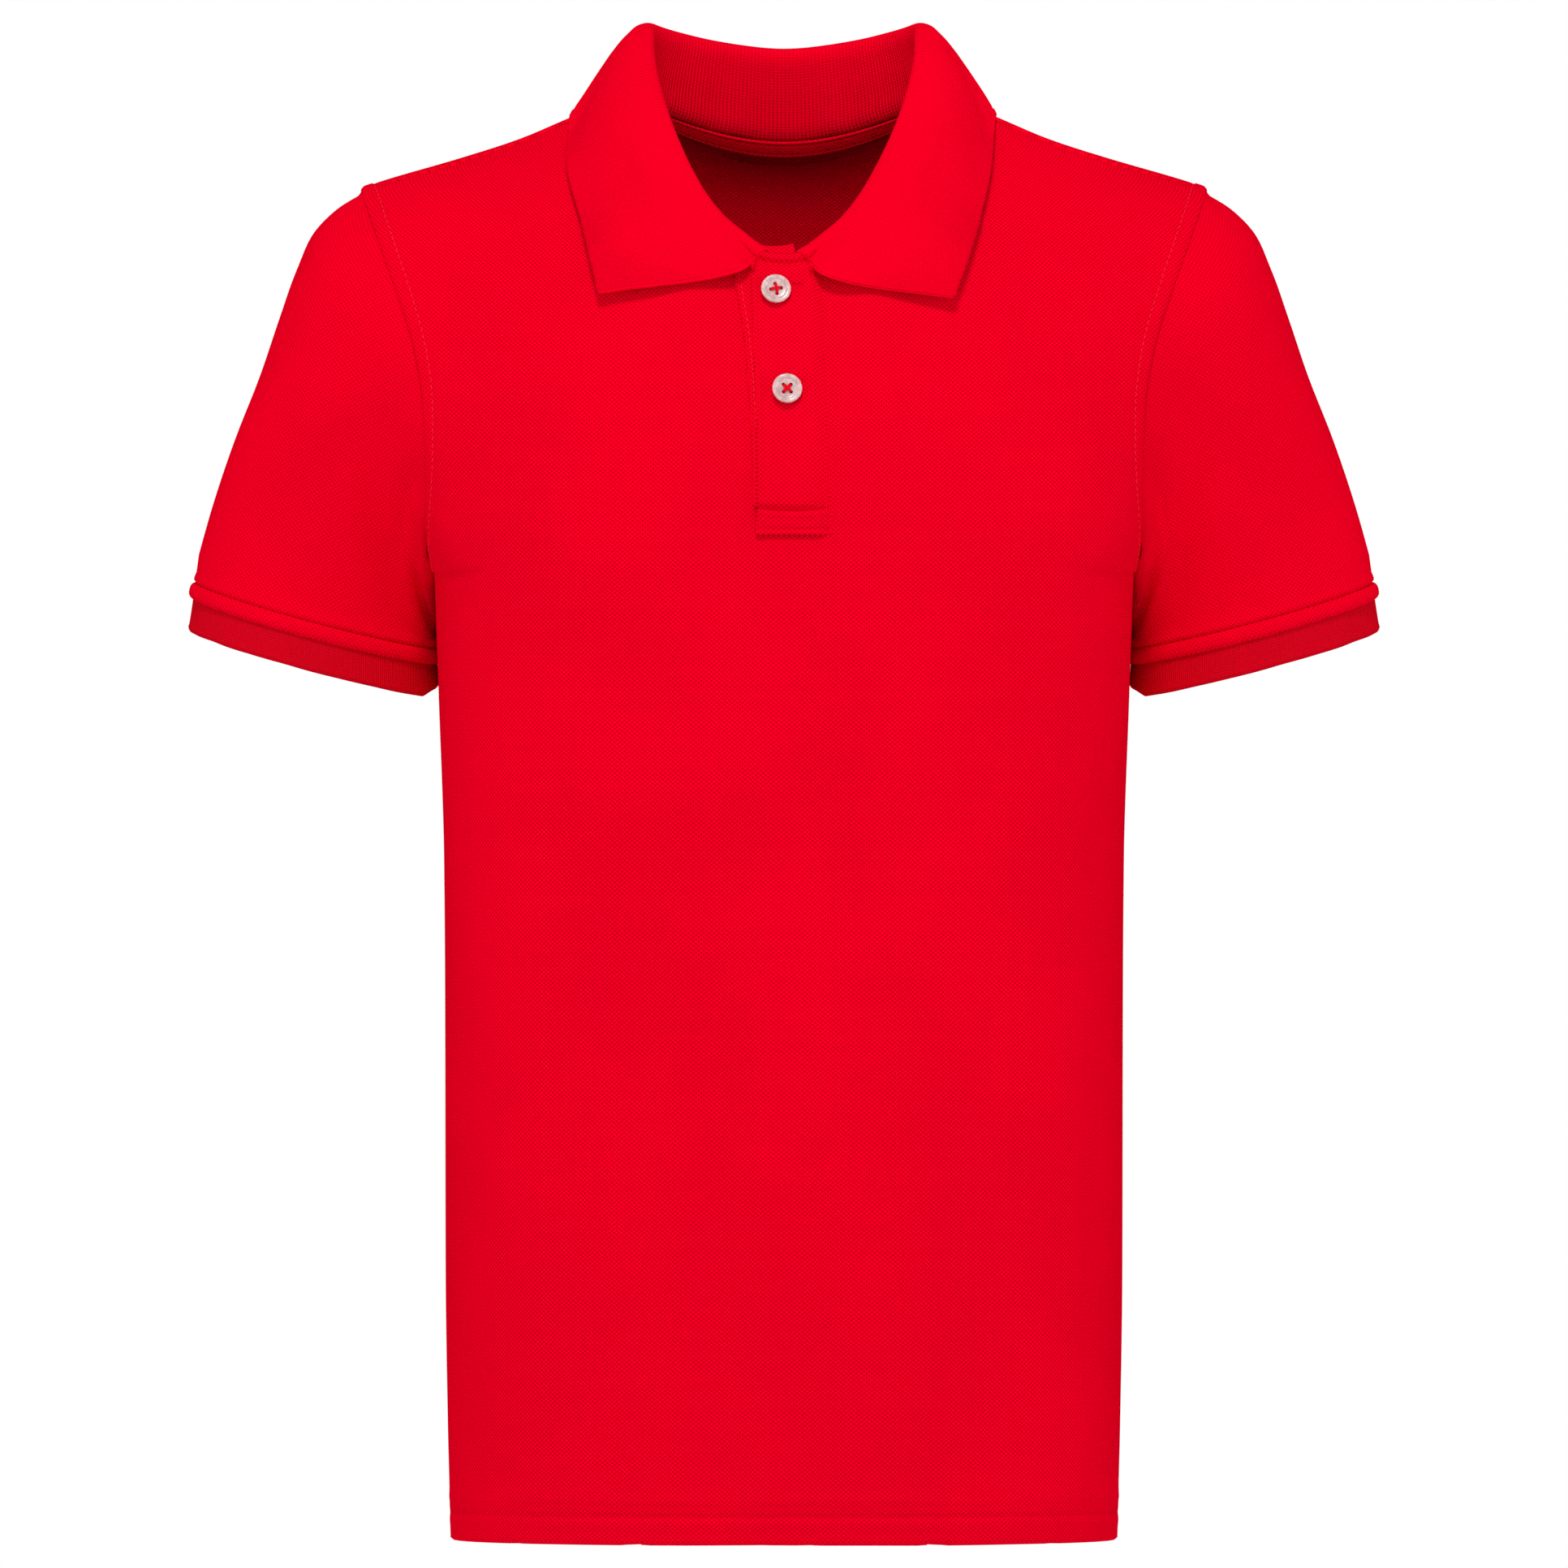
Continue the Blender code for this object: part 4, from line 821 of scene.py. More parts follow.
# ---------------------------------------------------------------- body panels
HEM_FOLD_Z = -0.5266
HEM_STITCH_Z = -0.5323
HEM_STITCH_FROM = 14
HEM_RAISE = 0.00045
HEM_SOFT = 0.0020
HEM_GROOVE = (HEM_STITCH_Z, -0.00070, 0.0009)
HEM_PUCKERS = ((HEM_FOLD_Z + 0.0016, 0.00045, 0.0022), (HEM_STITCH_Z - 0.0030, 0.00030, 0.0020))
SIDE_DIP = (0.0, 0.00030, 0.0012)
ARMHOLE_SEAM = dict(stitch=0.0054, raised=0.00040, soft=0.0010, sunk=0.00055, width=0.00055)
ARMHOLE_EDGE = (0.0, 0.00075, 0.0008)
SHOULDER_SEAM = dict(stitch=0.0050, raised=0.00035, soft=0.0012, sunk=0.00045, width=0.0006)
ARMHOLE_ROWS = (0.03, 0.985)
INNER_WALL = 0.9

# Painted shade and light: the inside of the back is coloured dark just below the neck tape and lighter
# farther down, where it is painted a little brighter than the cloth.
INSIDE_TOP_PAINTED_SHADE = 0.21
INSIDE_BELOW_PAINTED_LIGHT = 1.13
INSIDE_FADE = 0.050

# Soft rises and hollows of the hanging cloth, each along a line from (x, z) to (x2, z2).
CREASES = table(
    "side x z x2 z2 width height",
    (-1, -0.118, -0.168, -0.080, -0.150, 0.0100, 0.0003),
    (-1, 0.118, -0.170, 0.078, -0.148, 0.0100, 0.0003),
    (-1, -0.122, -0.182, -0.070, -0.205, 0.0110, -0.0004),
    (-1, 0.121, -0.184, 0.072, -0.212, 0.0110, -0.0004),
    (-1, -0.060, -0.330, -0.052, -0.520, 0.0180, 0.0010),
    (-1, 0.048, -0.360, 0.060, -0.530, 0.0200, 0.0011),
    (-1, -0.005, -0.400, -0.010, -0.540, 0.0160, -0.0008),
    (-1, 0.028, -0.120, 0.060, -0.086, 0.0080, 0.0006),
    (-1, -0.026, -0.110, -0.058, -0.082, 0.0080, 0.0006),
    (1, -0.120, -0.165, -0.070, -0.135, 0.0090, 0.0014),
    (1, 0.119, -0.168, 0.074, -0.128, 0.0090, 0.0012),
    (1, -0.110, -0.200, -0.040, -0.235, 0.0120, -0.0012),
    (1, 0.112, -0.205, 0.050, -0.250, 0.0130, -0.0011),
    (1, -0.040, -0.270, -0.055, -0.520, 0.0200, 0.0016),
    (1, 0.030, -0.300, 0.048, -0.530, 0.0220, 0.0015),
    (1, -0.004, -0.060, 0.004, -0.190, 0.0150, -0.0007),
)


def crease_lift(side, grid):
    lift = np.zeros(grid.shape[:2])
    for crease in CREASES:
        if crease["side"] != side:
            continue
        start = np.array([crease["x"], crease["z"]])
        along = np.array([crease["x2"], crease["z2"]]) - start
        size = np.linalg.norm(along)
        along = along / size
        off = grid[..., [0, 2]] - start
        run = np.clip(off @ along, 0, size)
        away = np.linalg.norm(off - run[..., None] * along, axis=-1)
        fade = np.sin(math.pi * (0.12 + 0.76 * run / size))
        lift += crease["height"] * fade * bump(away, crease["width"])
    return lift


INNER_SHARE = 0.80
OUTER_COLUMNS = 16
HEM_ROW = 0.0009
UPPER_LENGTH = 0.235
UPPER_TOP = 0.935
RUN_STEP = 0.02
EDGE_STEPS = np.array([0.0, 0.0003, 0.0008, 0.0014, 0.0022, 0.0030, 0.0038, 0.0044, 0.0048, 0.0051,
                       0.0054, 0.0057, 0.0061, 0.0068, 0.0078])
TOP_STEPS = np.array([0.0, 0.0003, 0.0009, 0.0017, 0.0026, 0.0035, 0.0042, 0.0047, 0.0050, 0.0053,
                      0.0058, 0.0066, 0.0078, 0.0095, 0.0120])


def inner_fractions(side, spacing, snaps):
    """Fractions of the half width at even steps of cloth, passing through the snaps."""
    dense = np.linspace(0, INNER_SHARE, 2001)
    at = panel_point(side, dense, 0.0)
    run = lengths(at, 0)
    right = np.interp(np.linspace(0, run[-1], int(run[-1] / spacing)), run, dense)
    every = np.concatenate((-right[:0:-1], right))
    for snap in snaps:
        every[int(np.argmin(np.abs(every - snap)))] = snap
    return every


def panel_heights(spacing):
    """Rows from the hem up to a little below the top edge."""
    hem = np.arange(HEM_Z, HEM_FOLD_Z + 0.004, HEM_ROW)
    body = np.linspace(hem[-1], UNDERARM_Z, int((UNDERARM_Z - hem[-1]) / spacing))[1:]
    upper = np.linspace(0, UPPER_TOP, int(UPPER_LENGTH / spacing))[1:]
    return np.concatenate((level_to_v(np.concatenate((hem, body))), upper))


def run_speed(side, r):
    """How fast the panel's surface runs toward its top edge, for each unit of v."""
    near_top = panel_point(side, r, 1.0) - panel_point(side, r, 1.0 - RUN_STEP)
    return np.linalg.norm(near_top, axis=-1) / RUN_STEP


def panel_places(side, spacing, snaps):
    """r and v of the grid's points [row][column]: the top rows run at set distances below the
    top edge, and the outer columns at set distances inside the side edges."""
    inside = inner_fractions(side, spacing, snaps)
    rows = panel_heights(spacing)
    if side < 0:
        rows[int(np.argmin(np.abs(rows - SLOT_END_V)))] = SLOT_END_V
    dense = np.sin(np.linspace(math.asin(INNER_SHARE), math.pi / 2, 241))
    every_r = np.concatenate((inside, dense))
    speed = run_speed(side, every_r)
    levels = [np.full_like(every_r, v) for v in rows]
    levels += [mix(rows[-1], 1.0 - TOP_STEPS[-1] / speed, k / 4) for k in range(1, 4)]
    levels += [1.0 - distance / speed for distance in TOP_STEPS[::-1]]
    r_grid, v_grid = [], []
    for level in levels:
        level_in, level_out = level[:len(inside)], level[len(inside):]
        run = lengths(panel_point(side, dense, level_out), 0)
        to_edge = run[-1] - run
        spread = np.linspace(run[-1], EDGE_STEPS[-1], OUTER_COLUMNS + 1)[1:]
        wanted = np.concatenate((spread, EDGE_STEPS[-2::-1]))
        r_out = np.interp(-wanted, -to_edge, dense)
        v_out = np.interp(-wanted, -to_edge, level_out)
        r_grid.append(np.concatenate((-r_out[::-1], inside, r_out)))
        v_grid.append(np.concatenate((v_out[::-1], level_in, v_out)))
    return np.array(r_grid), np.array(v_grid)


# The kink where the lower form meets the upper one is evened out from row to row, and the one
# below the corner of the neckline along the rows.
UNDERARM_SMOOTH = 0.12
UNDERARM_PASSES = 140
CORNER_SMOOTH = 0.016
CORNER_BELOW = (0.004, 0.030)
CORNER_FROM_V = 0.10
CORNER_WEIGHT = 0.9
CORNER_PASSES = 60


def smoothed(grid, weight, passes, axes=3):
    """Evens a grid out from row to row, by each point's weight; only its first axes move."""
    for _ in range(passes):
        moved = np.array(grid[1:-1])
        step = ((grid[:-2] + grid[2:]) / 2 - moved) * weight[1:-1, :, None]
        moved[..., :axes] += step[..., :axes]
        grid = np.concatenate((grid[:1], moved, grid[-1:]))
    return grid


def to_top_edge(grid):
    run = lengths(grid, 0)
    return run[-1:] - run


def panel_grid(side, r, v):
    rows = v[:, r.shape[1] // 2]
    kink = bump(rows, UNDERARM_SMOOTH)[:, None]
    grid = smoothed(panel_point(side, r, v), kink, UNDERARM_PASSES, axes=2)
    below = ease((to_top_edge(grid) - CORNER_BELOW[0]) / CORNER_BELOW[1])
    corner = bump(np.abs(column_x(r)) - NECK_X, CORNER_SMOOTH) * below * ease(v / CORNER_FROM_V)
    return smoothed(grid.swapaxes(0, 1), corner.T * CORNER_WEIGHT, CORNER_PASSES).swapaxes(0, 1)


def panel_normals(side, r, v, grid):
    """Outward normals; where front and back meet, both use the mean of the two."""
    normal = unit(grid_normals(grid, closed=False))
    normal = normal * -side * np.sign(-(normal[len(grid) // 3, r.shape[1] // 2, 1]))
    side_seam = np.abs(r) > 1 - 1e-9
    edge_normal = panel_normal(side, r, v)
    top_row = (np.abs(column_x(r)) >= NECK_X - 1e-6) & (v > 1 - 1e-9)
    shared = (side_seam & (v <= 1e-9)) | top_row
    normal = np.where(shared[..., None], unit(edge_normal + panel_normal(-side, r, v)), normal)
    return np.where((side_seam & (v > 1e-9) & ~top_row)[..., None], edge_normal, normal)


def pressed_seam(distance, stitch, raised, soft, sunk, width):
    """The cloth is raised from its edge to a row of stitches, which sinks into it."""
    edge = raised * (1 - ease((distance - stitch) / soft))
    return edge - ridges(distance, (stitch, sunk, width))


def hem_relief(x, z, to_edge):
    """The turned-up hem: thicker below its fold, with its stitches sunk and small puckers."""
    wave = 1 + 0.25 * np.sin(x * 61) + 0.2 * np.sin(x * 143 + 1)
    hem = HEM_RAISE * (1 - ease((z - HEM_FOLD_Z) / HEM_SOFT))
    hem = hem + wave * ridges(z, *HEM_PUCKERS) + ridges(z, HEM_GROOVE)
    return hem * ease(to_edge / 0.016) * (1 - 0.35 * ease((np.abs(x) - 0.06) / 0.05))


def panel_relief(side, r, v, grid, to_edge):
    """How far the cloth's outer side stands off the plain form."""
    x, z = grid[..., 0], grid[..., 2]
    armhole = pressed_seam(to_edge, **ARMHOLE_SEAM) - ridges(to_edge, ARMHOLE_EDGE)
    lift = crease_lift(side, grid) + ease((v - 0.02) / 0.05) * armhole
    if side < 0:
        on_shoulder = ease((np.abs(column_x(r)) - NECK_X) / 0.006)
        lift += on_shoulder * pressed_seam(to_top_edge(grid), **SHOULDER_SEAM)
    return lift + hem_relief(x, z, to_edge) - np.where(v <= 0, 1.0, 0.0) * ridges(to_edge, SIDE_DIP)


def panel_knit(grid, rows):
    """The knit's two directions: round the body from its middle, and up from the underarm."""
    middle = grid.shape[1] // 2
    across = lengths(grid[..., [0, 1]], 1)
    tallest = int(np.argmax(grid[-1, :, 2]))
    climb = lengths(grid[:, tallest:tallest + 1, 1:], 0)[:, 0]
    climb = climb - climb[int(np.argmin(np.abs(rows)))]
    return across - across[:, middle:middle + 1], np.interp(grid[..., 2], grid[:, tallest, 2], climb)


def placket_slot(rows, fractions):
    """The faces left out of the front, under the placket."""
    past_left = fractions[:-1] > SLOT_LEFT / HALF - 1e-6
    before_right = fractions[1:] < fraction_at_top(SLOT_RIGHT) + 1e-6
    return (rows[:-1] > SLOT_END_V - 1e-6)[:, None] & (past_left & before_right)[None, :]


def panel(name, node, side, spacing):
    neck = float(fraction_at_top(NECK_X))
    snaps = [-neck, neck]
    if side < 0:
        snaps += [SLOT_LEFT / HALF, float(fraction_at_top(SLOT_RIGHT))]
    r, v = panel_places(side, spacing, snaps)
    rows, fractions = v[:, r.shape[1] // 2], r[-1]
    grid = panel_grid(side, r, v)
    normal = panel_normals(side, r, v, grid)
    run = lengths(grid, 1)
    to_edge = np.minimum(run, run[:, -1:] - run)
    outer = grid + normal * panel_relief(side, r, v, grid, to_edge)[..., None]
    thick = np.where(grid[..., 2] <= HEM_FOLD_Z + 0.0004, HEM_CLOTH, CLOTH)
    inner = grid - normal * thick[..., None] * INNER_WALL
    u, height = panel_knit(grid, rows)
    skip = placket_slot(rows, fractions) if side < 0 else None
    # Painted shade on the inside faces of the back, darkest just below the neck tape.
    shade = None
    if side > 0:
        shade = mix(INSIDE_TOP_PAINTED_SHADE, INSIDE_BELOW_PAINTED_LIGHT, ease((height[-1:] - height) / INSIDE_FADE))
    made = shell(name, outer, inner, wrap(u, height), skip=skip, inner_shade=shade)
    finish_piece(made, PIQUE, node)
    return made, dict(grid=outer, normal=normal, to_edge=to_edge, rows=rows, fractions=fractions)


def row_line(data, row, cols):
    return data["grid"][row, cols], data["normal"][row, cols]


def armhole_line(data, sign):
    """The line that runs inside the armhole edge, where the stitches are."""
    line, facing = [], []
    cols = len(data["fractions"])
    half = slice(0, cols // 2) if sign < 0 else slice(cols - 1, cols // 2, -1)
    low, high = ARMHOLE_ROWS
    for row in np.nonzero((data["rows"] > low) & (data["rows"] < high))[0]:
        away = data["to_edge"][row][half]
        line.append(at_run(ARMHOLE_SEAM["stitch"], away, data["grid"][row][half]))
        facing.append(at_run(ARMHOLE_SEAM["stitch"], away, data["normal"][row][half]))
    return np.array(line), unit(np.array(facing))


def shoulder_line(data, sign):
    """The line that runs below the shoulder seam, where the stitches are."""
    line, facing = [], []
    to_top = to_top_edge(data["grid"])
    x = sign * column_x(data["fractions"])
    for col in np.nonzero((x > NECK_X + 0.004) & (x < TIP_X - 0.004))[0]:
        away = to_top[::-1, col]
        line.append(at_run(SHOULDER_SEAM["stitch"], away, data["grid"][::-1, col]))
        facing.append(at_run(SHOULDER_SEAM["stitch"], away, data["normal"][::-1, col]))
    return np.array(line), unit(np.array(facing))


# ---------------------------------------------------------------- sleeves
SLEEVE_STEPS = 56
SLEEVE_RINGS = 60

# Soft folds of a sleeve, by angle round it (0 beside the body, 90 front, 180 outside, in
# degrees) and share of the way down; turn is how far the fold swings round on its way.
SLEEVE_FOLDS = table(
    "angle share long width turn height",
    (28, 0.74, 0.22, 9, -14, -0.0016),
    (44, 0.70, 0.24, 10, -16, 0.0012),
    (66, 0.62, 0.22, 10, -20, -0.0009),
    (84, 0.60, 0.24, 11, -22, 0.0010),
    (104, 0.55, 0.30, 15, 12, -0.0006),
    (118, 0.42, 0.22, 12, 14, 0.0007),
    (135, 0.72, 0.20, 14, -10, -0.0006),
    (255, 0.66, 0.26, 13, 16, 0.0013),
    (282, 0.58, 0.25, 12, 18, -0.0014),
    (318, 0.70, 0.22, 10, 12, 0.0013),
)


def armhole_ring(steps):
    order = [(-1, k / steps) for k in range(steps + 1)]
    order += [(1, k / steps) for k in range(steps - 1, 0, -1)]
    at = np.array([panel_point(side, 1.0, v) for side, v in order])
    normal = np.array([panel_normal(side, 1.0, v) for side, v in order])
    for shared in (0, steps):
        v = order[shared][1]
        normal[shared] = unit(panel_normal(-1, 1.0, v) + panel_normal(1, 1.0, v))
    tangent = unit(np.roll(at, -1, axis=0) - np.roll(at, 1, axis=0))
    heading = unit(np.cross(tangent, normal))
    return at, normal, heading, np.array([v * math.pi for _, v in order])


def sideways(direction):
    """A direction given as x and z."""
    return np.array([direction[0], 0.0, direction[1]])


def end_ring(angles, leaves, drop):
    (outer_x, outer_z), (inner_x, inner_z) = SLEEVE_END_OUTER, SLEEVE_END_INNER
    centre = np.array([(outer_x + inner_x) / 2, SLEEVE_END_Y, (outer_z + inner_z) / 2])
    out = np.array([(outer_x - inner_x) / 2, 0.0, (outer_z - inner_z) / 2])
    front = np.array([0.0, -SLEEVE_END_HALF_DEPTH, -SLEEVE_END_DIP])
    along = unit(sideways(leaves))
    ring = centre - np.cos(angles)[:, None] * out + np.sin(angles)[:, None] * front
    return ring + along * drop, along


def ring_angles(at):
    """An angle for each point of a ring, even along its front half and its back half."""
    run = lengths(np.concatenate((at, at[:1])), 0)
    half = len(at) // 2
    front = run[:half + 1] / run[half]
    back = (run[half + 1:-1] - run[half]) / (run[-1] - run[half])
    return math.pi * np.concatenate((front, 1 + back))


def clear_of_side(ring):
    """Moves a ring's points out of the body's side, below the underarm."""
    side = np.where(ring[:, 1] < SIDE_Y, -1, 1)
    depth = np.where(side < 0, depth_at[-1](ring[:, 2]), depth_at[1](ring[:, 2]))
    share = np.clip(np.abs(ring[:, 1] - SIDE_Y) / depth, 0, 0.99)
    body_x = half_at(ring[:, 2]) * (1 - share ** ROUND) ** (1 / ROUND)
    below = ring[:, 2] < UNDERARM_Z - 2 * SEAM
    ring[:, 0] = np.where(below, np.maximum(ring[:, 0], body_x + SIDE_CLEAR), ring[:, 0])
    return ring


# The band at the sleeve's end, by distance before the end; its stitches lie in its groove.
BAND_GROOVE = 5
BAND_CLEAR = 0.0041
BAND_THICKER = 0.0001
BAND_PROFILE = table(
    "before out",
    (0.0096, 0.00005),
    (0.0082, 0.00035),
    (0.0072, 0.00050),
    (0.0065, 0.00035),
    (0.0061, -0.00030),
    (0.0057, -0.00055),
    (0.0053, 0.00000),
    (0.0049, 0.00070),
    (0.0041, 0.00120),
    (0.0030, 0.00140),
    (0.0018, 0.00140),
    (0.0009, 0.00125),
    (0.0003, 0.00090),
    (0.0000, 0.00060),
)


def sleeve_rings():
    """Rings of points from the armhole to the band at the sleeve's end."""
    at, normal, heading, turn = armhole_ring(SLEEVE_STEPS)
    tuck = math.pi / 2 * np.clip(np.cos(1.5 * np.clip(turn, 0, math.pi / 3)), 0, 1)[:, None]
    start_heading = np.cos(tuck) * heading + np.sin(tuck) * normal
    start_normal = np.cos(tuck) * normal - np.sin(tuck) * heading
    under = np.sin(tuck)
    start = at + start_heading * SEAM + start_normal * mix(-SLEEVE_SHRINK, CLOTH, under)
    angles = ring_angles(at)
    finish, along = end_ring(angles, SLEEVE_LEAVES, -BAND_HEIGHT - 0.0009)
    reach = np.linalg.norm(finish - start, axis=1, keepdims=True)
    leave = start_heading * reach * mix(HEAD_PULL, UNDER_PULL, under)
    beside = ((1 + np.cos(angles[:, None])) / 2) ** 2
    arrive = mix(along, np.array([0.0, 0.0, -1.0]), beside) * reach
    top = len(at) // 2
    near_top = (((1 - np.cos(angles)) / 2) ** 2)[:, None]
    top_x = curve_through(column(SLEEVE_TOP_LINE, "s"), column(SLEEVE_TOP_LINE, "x"), False)
    top_z = curve_through(column(SLEEVE_TOP_LINE, "s"), column(SLEEVE_TOP_LINE, "z"), False)
    rings, shares = [], []
    for k in range(SLEEVE_RINGS + 1):
        s = (k / SLEEVE_RINGS) ** RING_SPACING
        ring = cubic(s, start, leave, finish, arrive)
        if 0 < k < SLEEVE_RINGS:
            shift = sideways((top_x(s), top_z(s))) - ring[top] * np.array([1.0, 0.0, 1.0])
            ring = clear_of_side(ring + near_top * shift)
        if np.linalg.norm(ring - finish, axis=1).mean() > BAND_CLEAR:
            rings.append(ring)
            shares.append(s)
    swell = [0.0] * len(rings)
    for row in BAND_PROFILE:
        rings.append(end_ring(angles, SLEEVE_LEAVES, -row["before"])[0])
        swell.append(row["out"])
        shares.append(1.0)
    return np.array(rings), np.array(swell), np.array(shares), start_normal, angles


def fold_lift(angles, shares):
    degrees = np.degrees(angles)[None, :]
    down = shares[:, None]
    lift = np.zeros((len(shares), len(angles)))
    for fold in SLEEVE_FOLDS:
        swung = fold["angle"] + fold["turn"] * (down - fold["share"]) / fold["long"]
        away = (degrees - swung + 180) % 360 - 180
        lift += fold["height"] * bump(away, fold["width"]) * bump(down - fold["share"], fold["long"])
    return lift * ease((1.0 - down) / 0.08) * ease(down / 0.1)


def joined_up(rows):
    """Rows of points that go right round, with the first one again at their end."""
    return np.concatenate((rows, rows[:, :1]), axis=1)


def closed_uv(grid):
    joined = joined_up(grid)
    run = lengths(joined, 1)
    full = run[:, -1:]
    even = run / full * full.mean()
    return wrap(even - even[:, -1:] / 2, lengths(joined, 0))


def sleeve_uv(grid):
    """Knit that runs straight down the sleeve, measured round it from its foremost line."""
    joined = joined_up(grid)
    along = unit(sideways(SLEEVE_LEAVES))
    aside = np.array([-along[2], 0.0, along[0]])
    flat = np.stack((joined @ aside, joined[..., 1]), axis=-1)
    run = lengths(flat, 1)
    front = flat.shape[1] // 4
    u = run - run[:, front:front + 1] + flat[:, front:front + 1, 0]
    return wrap(u, joined @ along)


def sleeve(name, node, sign):
    grid, swell, shares, start_normal, angles = sleeve_rings()
    normal = -grid_normals(grid, closed=True)
    normal[0] = start_normal
    lift = fold_lift(angles, shares) + swell[:, None]
    outer = grid + normal * lift[..., None]
    inner = grid - normal * CLOTH * INNER_WALL
    inner[-len(BAND_PROFILE):] -= normal[-len(BAND_PROFILE):] * BAND_THICKER
    flip = side_flip(sign)
    made = shell(name, outer * flip, inner * flip, sleeve_uv(grid), closed=True)
    finish_piece(made, SLEEVE_PIQUE, node)
    groove = len(grid) - len(BAND_PROFILE) + BAND_GROOVE
    return made, (joined_up(outer)[groove] * flip, joined_up(normal)[groove] * flip)


CUFF_SHARES = np.concatenate((np.linspace(0, 0.9, 12), [0.95, 0.985, 1.0]))
CUFF_WAVES = ((0.00018, 9, 0.6), (0.00012, 17, 0.0))
CUFF_EDGE = ((1.0, -0.00025, 0.03), (0.9, 0.0002, 0.06))


def cuff(name, node, sign):
    """Its inner side hangs beside the body, and its lowest inner corner is cut off."""
    angles = ring_angles(armhole_ring(SLEEVE_STEPS)[0])
    base, _ = end_ring(angles, SLEEVE_LEAVES, SEAM)
    outside = ((1 - np.cos(angles)) / 2)[:, None]
    along = mix(sideways((CUFF_INNER_LEAVES, -1.0)), sideways(CUFF_LEAVES), outside)
    inmost = base[:, 0] - base[:, 0].min()
    height = (CUFF_HEIGHT - CUFF_CORNER * np.clip(1 - inmost / CUFF_CORNER_WIDE, 0, 1))[:, None]
    grid = np.array([base + along * height * share for share in CUFF_SHARES])
    normal = -grid_normals(grid, closed=True)
    waves = sum(size * np.sin(angles * count + shift) for size, count, shift in CUFF_WAVES)
    lift = waves * CUFF_SHARES[:, None] - CUFF_INSET + ridges(CUFF_SHARES, *CUFF_EDGE)[:, None]
    outer = grid + normal * lift[..., None]
    inner = grid - normal * (CUFF_INSET + RIB)
    flip = side_flip(sign)
    made = shell(name, outer * flip, inner * flip, closed_uv(grid), closed=True)
    return finish_piece(made, CUFF_RIB, node)


# ---------------------------------------------------------------- collar
def panel_fractions():
    """The solids' own columns, which the neckline's straight lines run between."""
    start = math.asin(SLOT_RIGHT / NECK_X)
    right = [float(fraction_at_top(NECK_X * math.sin(mix(start, math.pi / 2, k / 5)))) for k in range(6)]
    left = [-r for r in right]
    left[0] = SLOT_LEFT / HALF
    return np.array(left[::-1] + [(left[0] + right[0]) / 2] + right)


def collar_curves(sign):
    """The first angle of a half, and its fold and leaf edge as curves over the angle."""
    past_middle = dict(COLLAR_BACK[-2])
    past_middle.update(omega=360 - past_middle["omega"], fold_x=-past_middle["fold_x"],
                       edge_x=-past_middle["edge_x"])
    rows = COLLAR_FRONT[sign] + COLLAR_BACK + (past_middle,)
    omega = column(rows, "omega")
    edge_y = []
    for row in rows:
        if row["side"] == 0:
            edge_y.append(float(shoulder_y(row["edge_x"])))
            continue
        r, v = locate(row["side"], row["edge_x"], row["edge_z"])
        edge_y.append(float(panel_point(row["side"], r, v)[1]))
    columns = [column(rows, name) for name in ("fold_x", "fold_y", "fold_z", "edge_x")]
    return omega[0], [curve_through(omega, values, False) for values in columns + [np.array(edge_y)]]


def body_under(x, y):
    """The body's point and normal under a place on the plan."""
    side = -1 if y < shoulder_y(x) else 1
    r, v = locate(side, x, y, axis=1)
    return panel_point(side, r, v), panel_normal(side, r, v)


def neckline_knot(side, sign, angle):
    def fraction(at):
        return sign * float(fraction_at_top(NECK_X * math.sin(math.radians(at))))

    r = fraction(angle)
    normal = panel_normal(side, r, 1.0)
    if angle > 80:
        normal = unit(panel_normal(-1, r, 1.0) + panel_normal(1, r, 1.0))
    along = top_edge(side, fraction(min(angle + 1.0, 90.0))) - top_edge(side, fraction(angle - 1.0))
    onward = unit(np.cross(along, normal))
    top = panel_point(side, r, 1.0)
    if np.dot(onward, top - panel_point(side, r, 0.985)) < 0:
        onward = -onward
    return top - normal * CLOTH / 2, onward


def neckline(omega, sign):
    """The neck seam's point, and the way onward from the panel, at an angle round the neck."""
    side = -1 if omega <= 90 else 1
    angle = omega if side < 0 else 180 - omega
    x = sign * column_x(panel_fractions())
    x = x[(x > 0) & (x < NECK_X + 1e-6)]
    knots = np.sort(np.degrees(np.arcsin(np.clip(x / NECK_X, 0, 1))))
    knots = np.concatenate(([0.0], knots))
    k = int(np.clip(np.searchsorted(knots, angle) - 1, 0, len(knots) - 2))
    share = (angle - knots[k]) / (knots[k + 1] - knots[k])
    near, near_on = neckline_knot(side, sign, knots[k])
    far, far_on = neckline_knot(side, sign, knots[k + 1])
    return mix(near, far, share), unit(mix(near_on, far_on, share))


def bezier(a, b, c, d, t):
    return (1 - t) ** 3 * a + 3 * (1 - t) ** 2 * t * b + 3 * (1 - t) * t ** 2 * c + t ** 3 * d


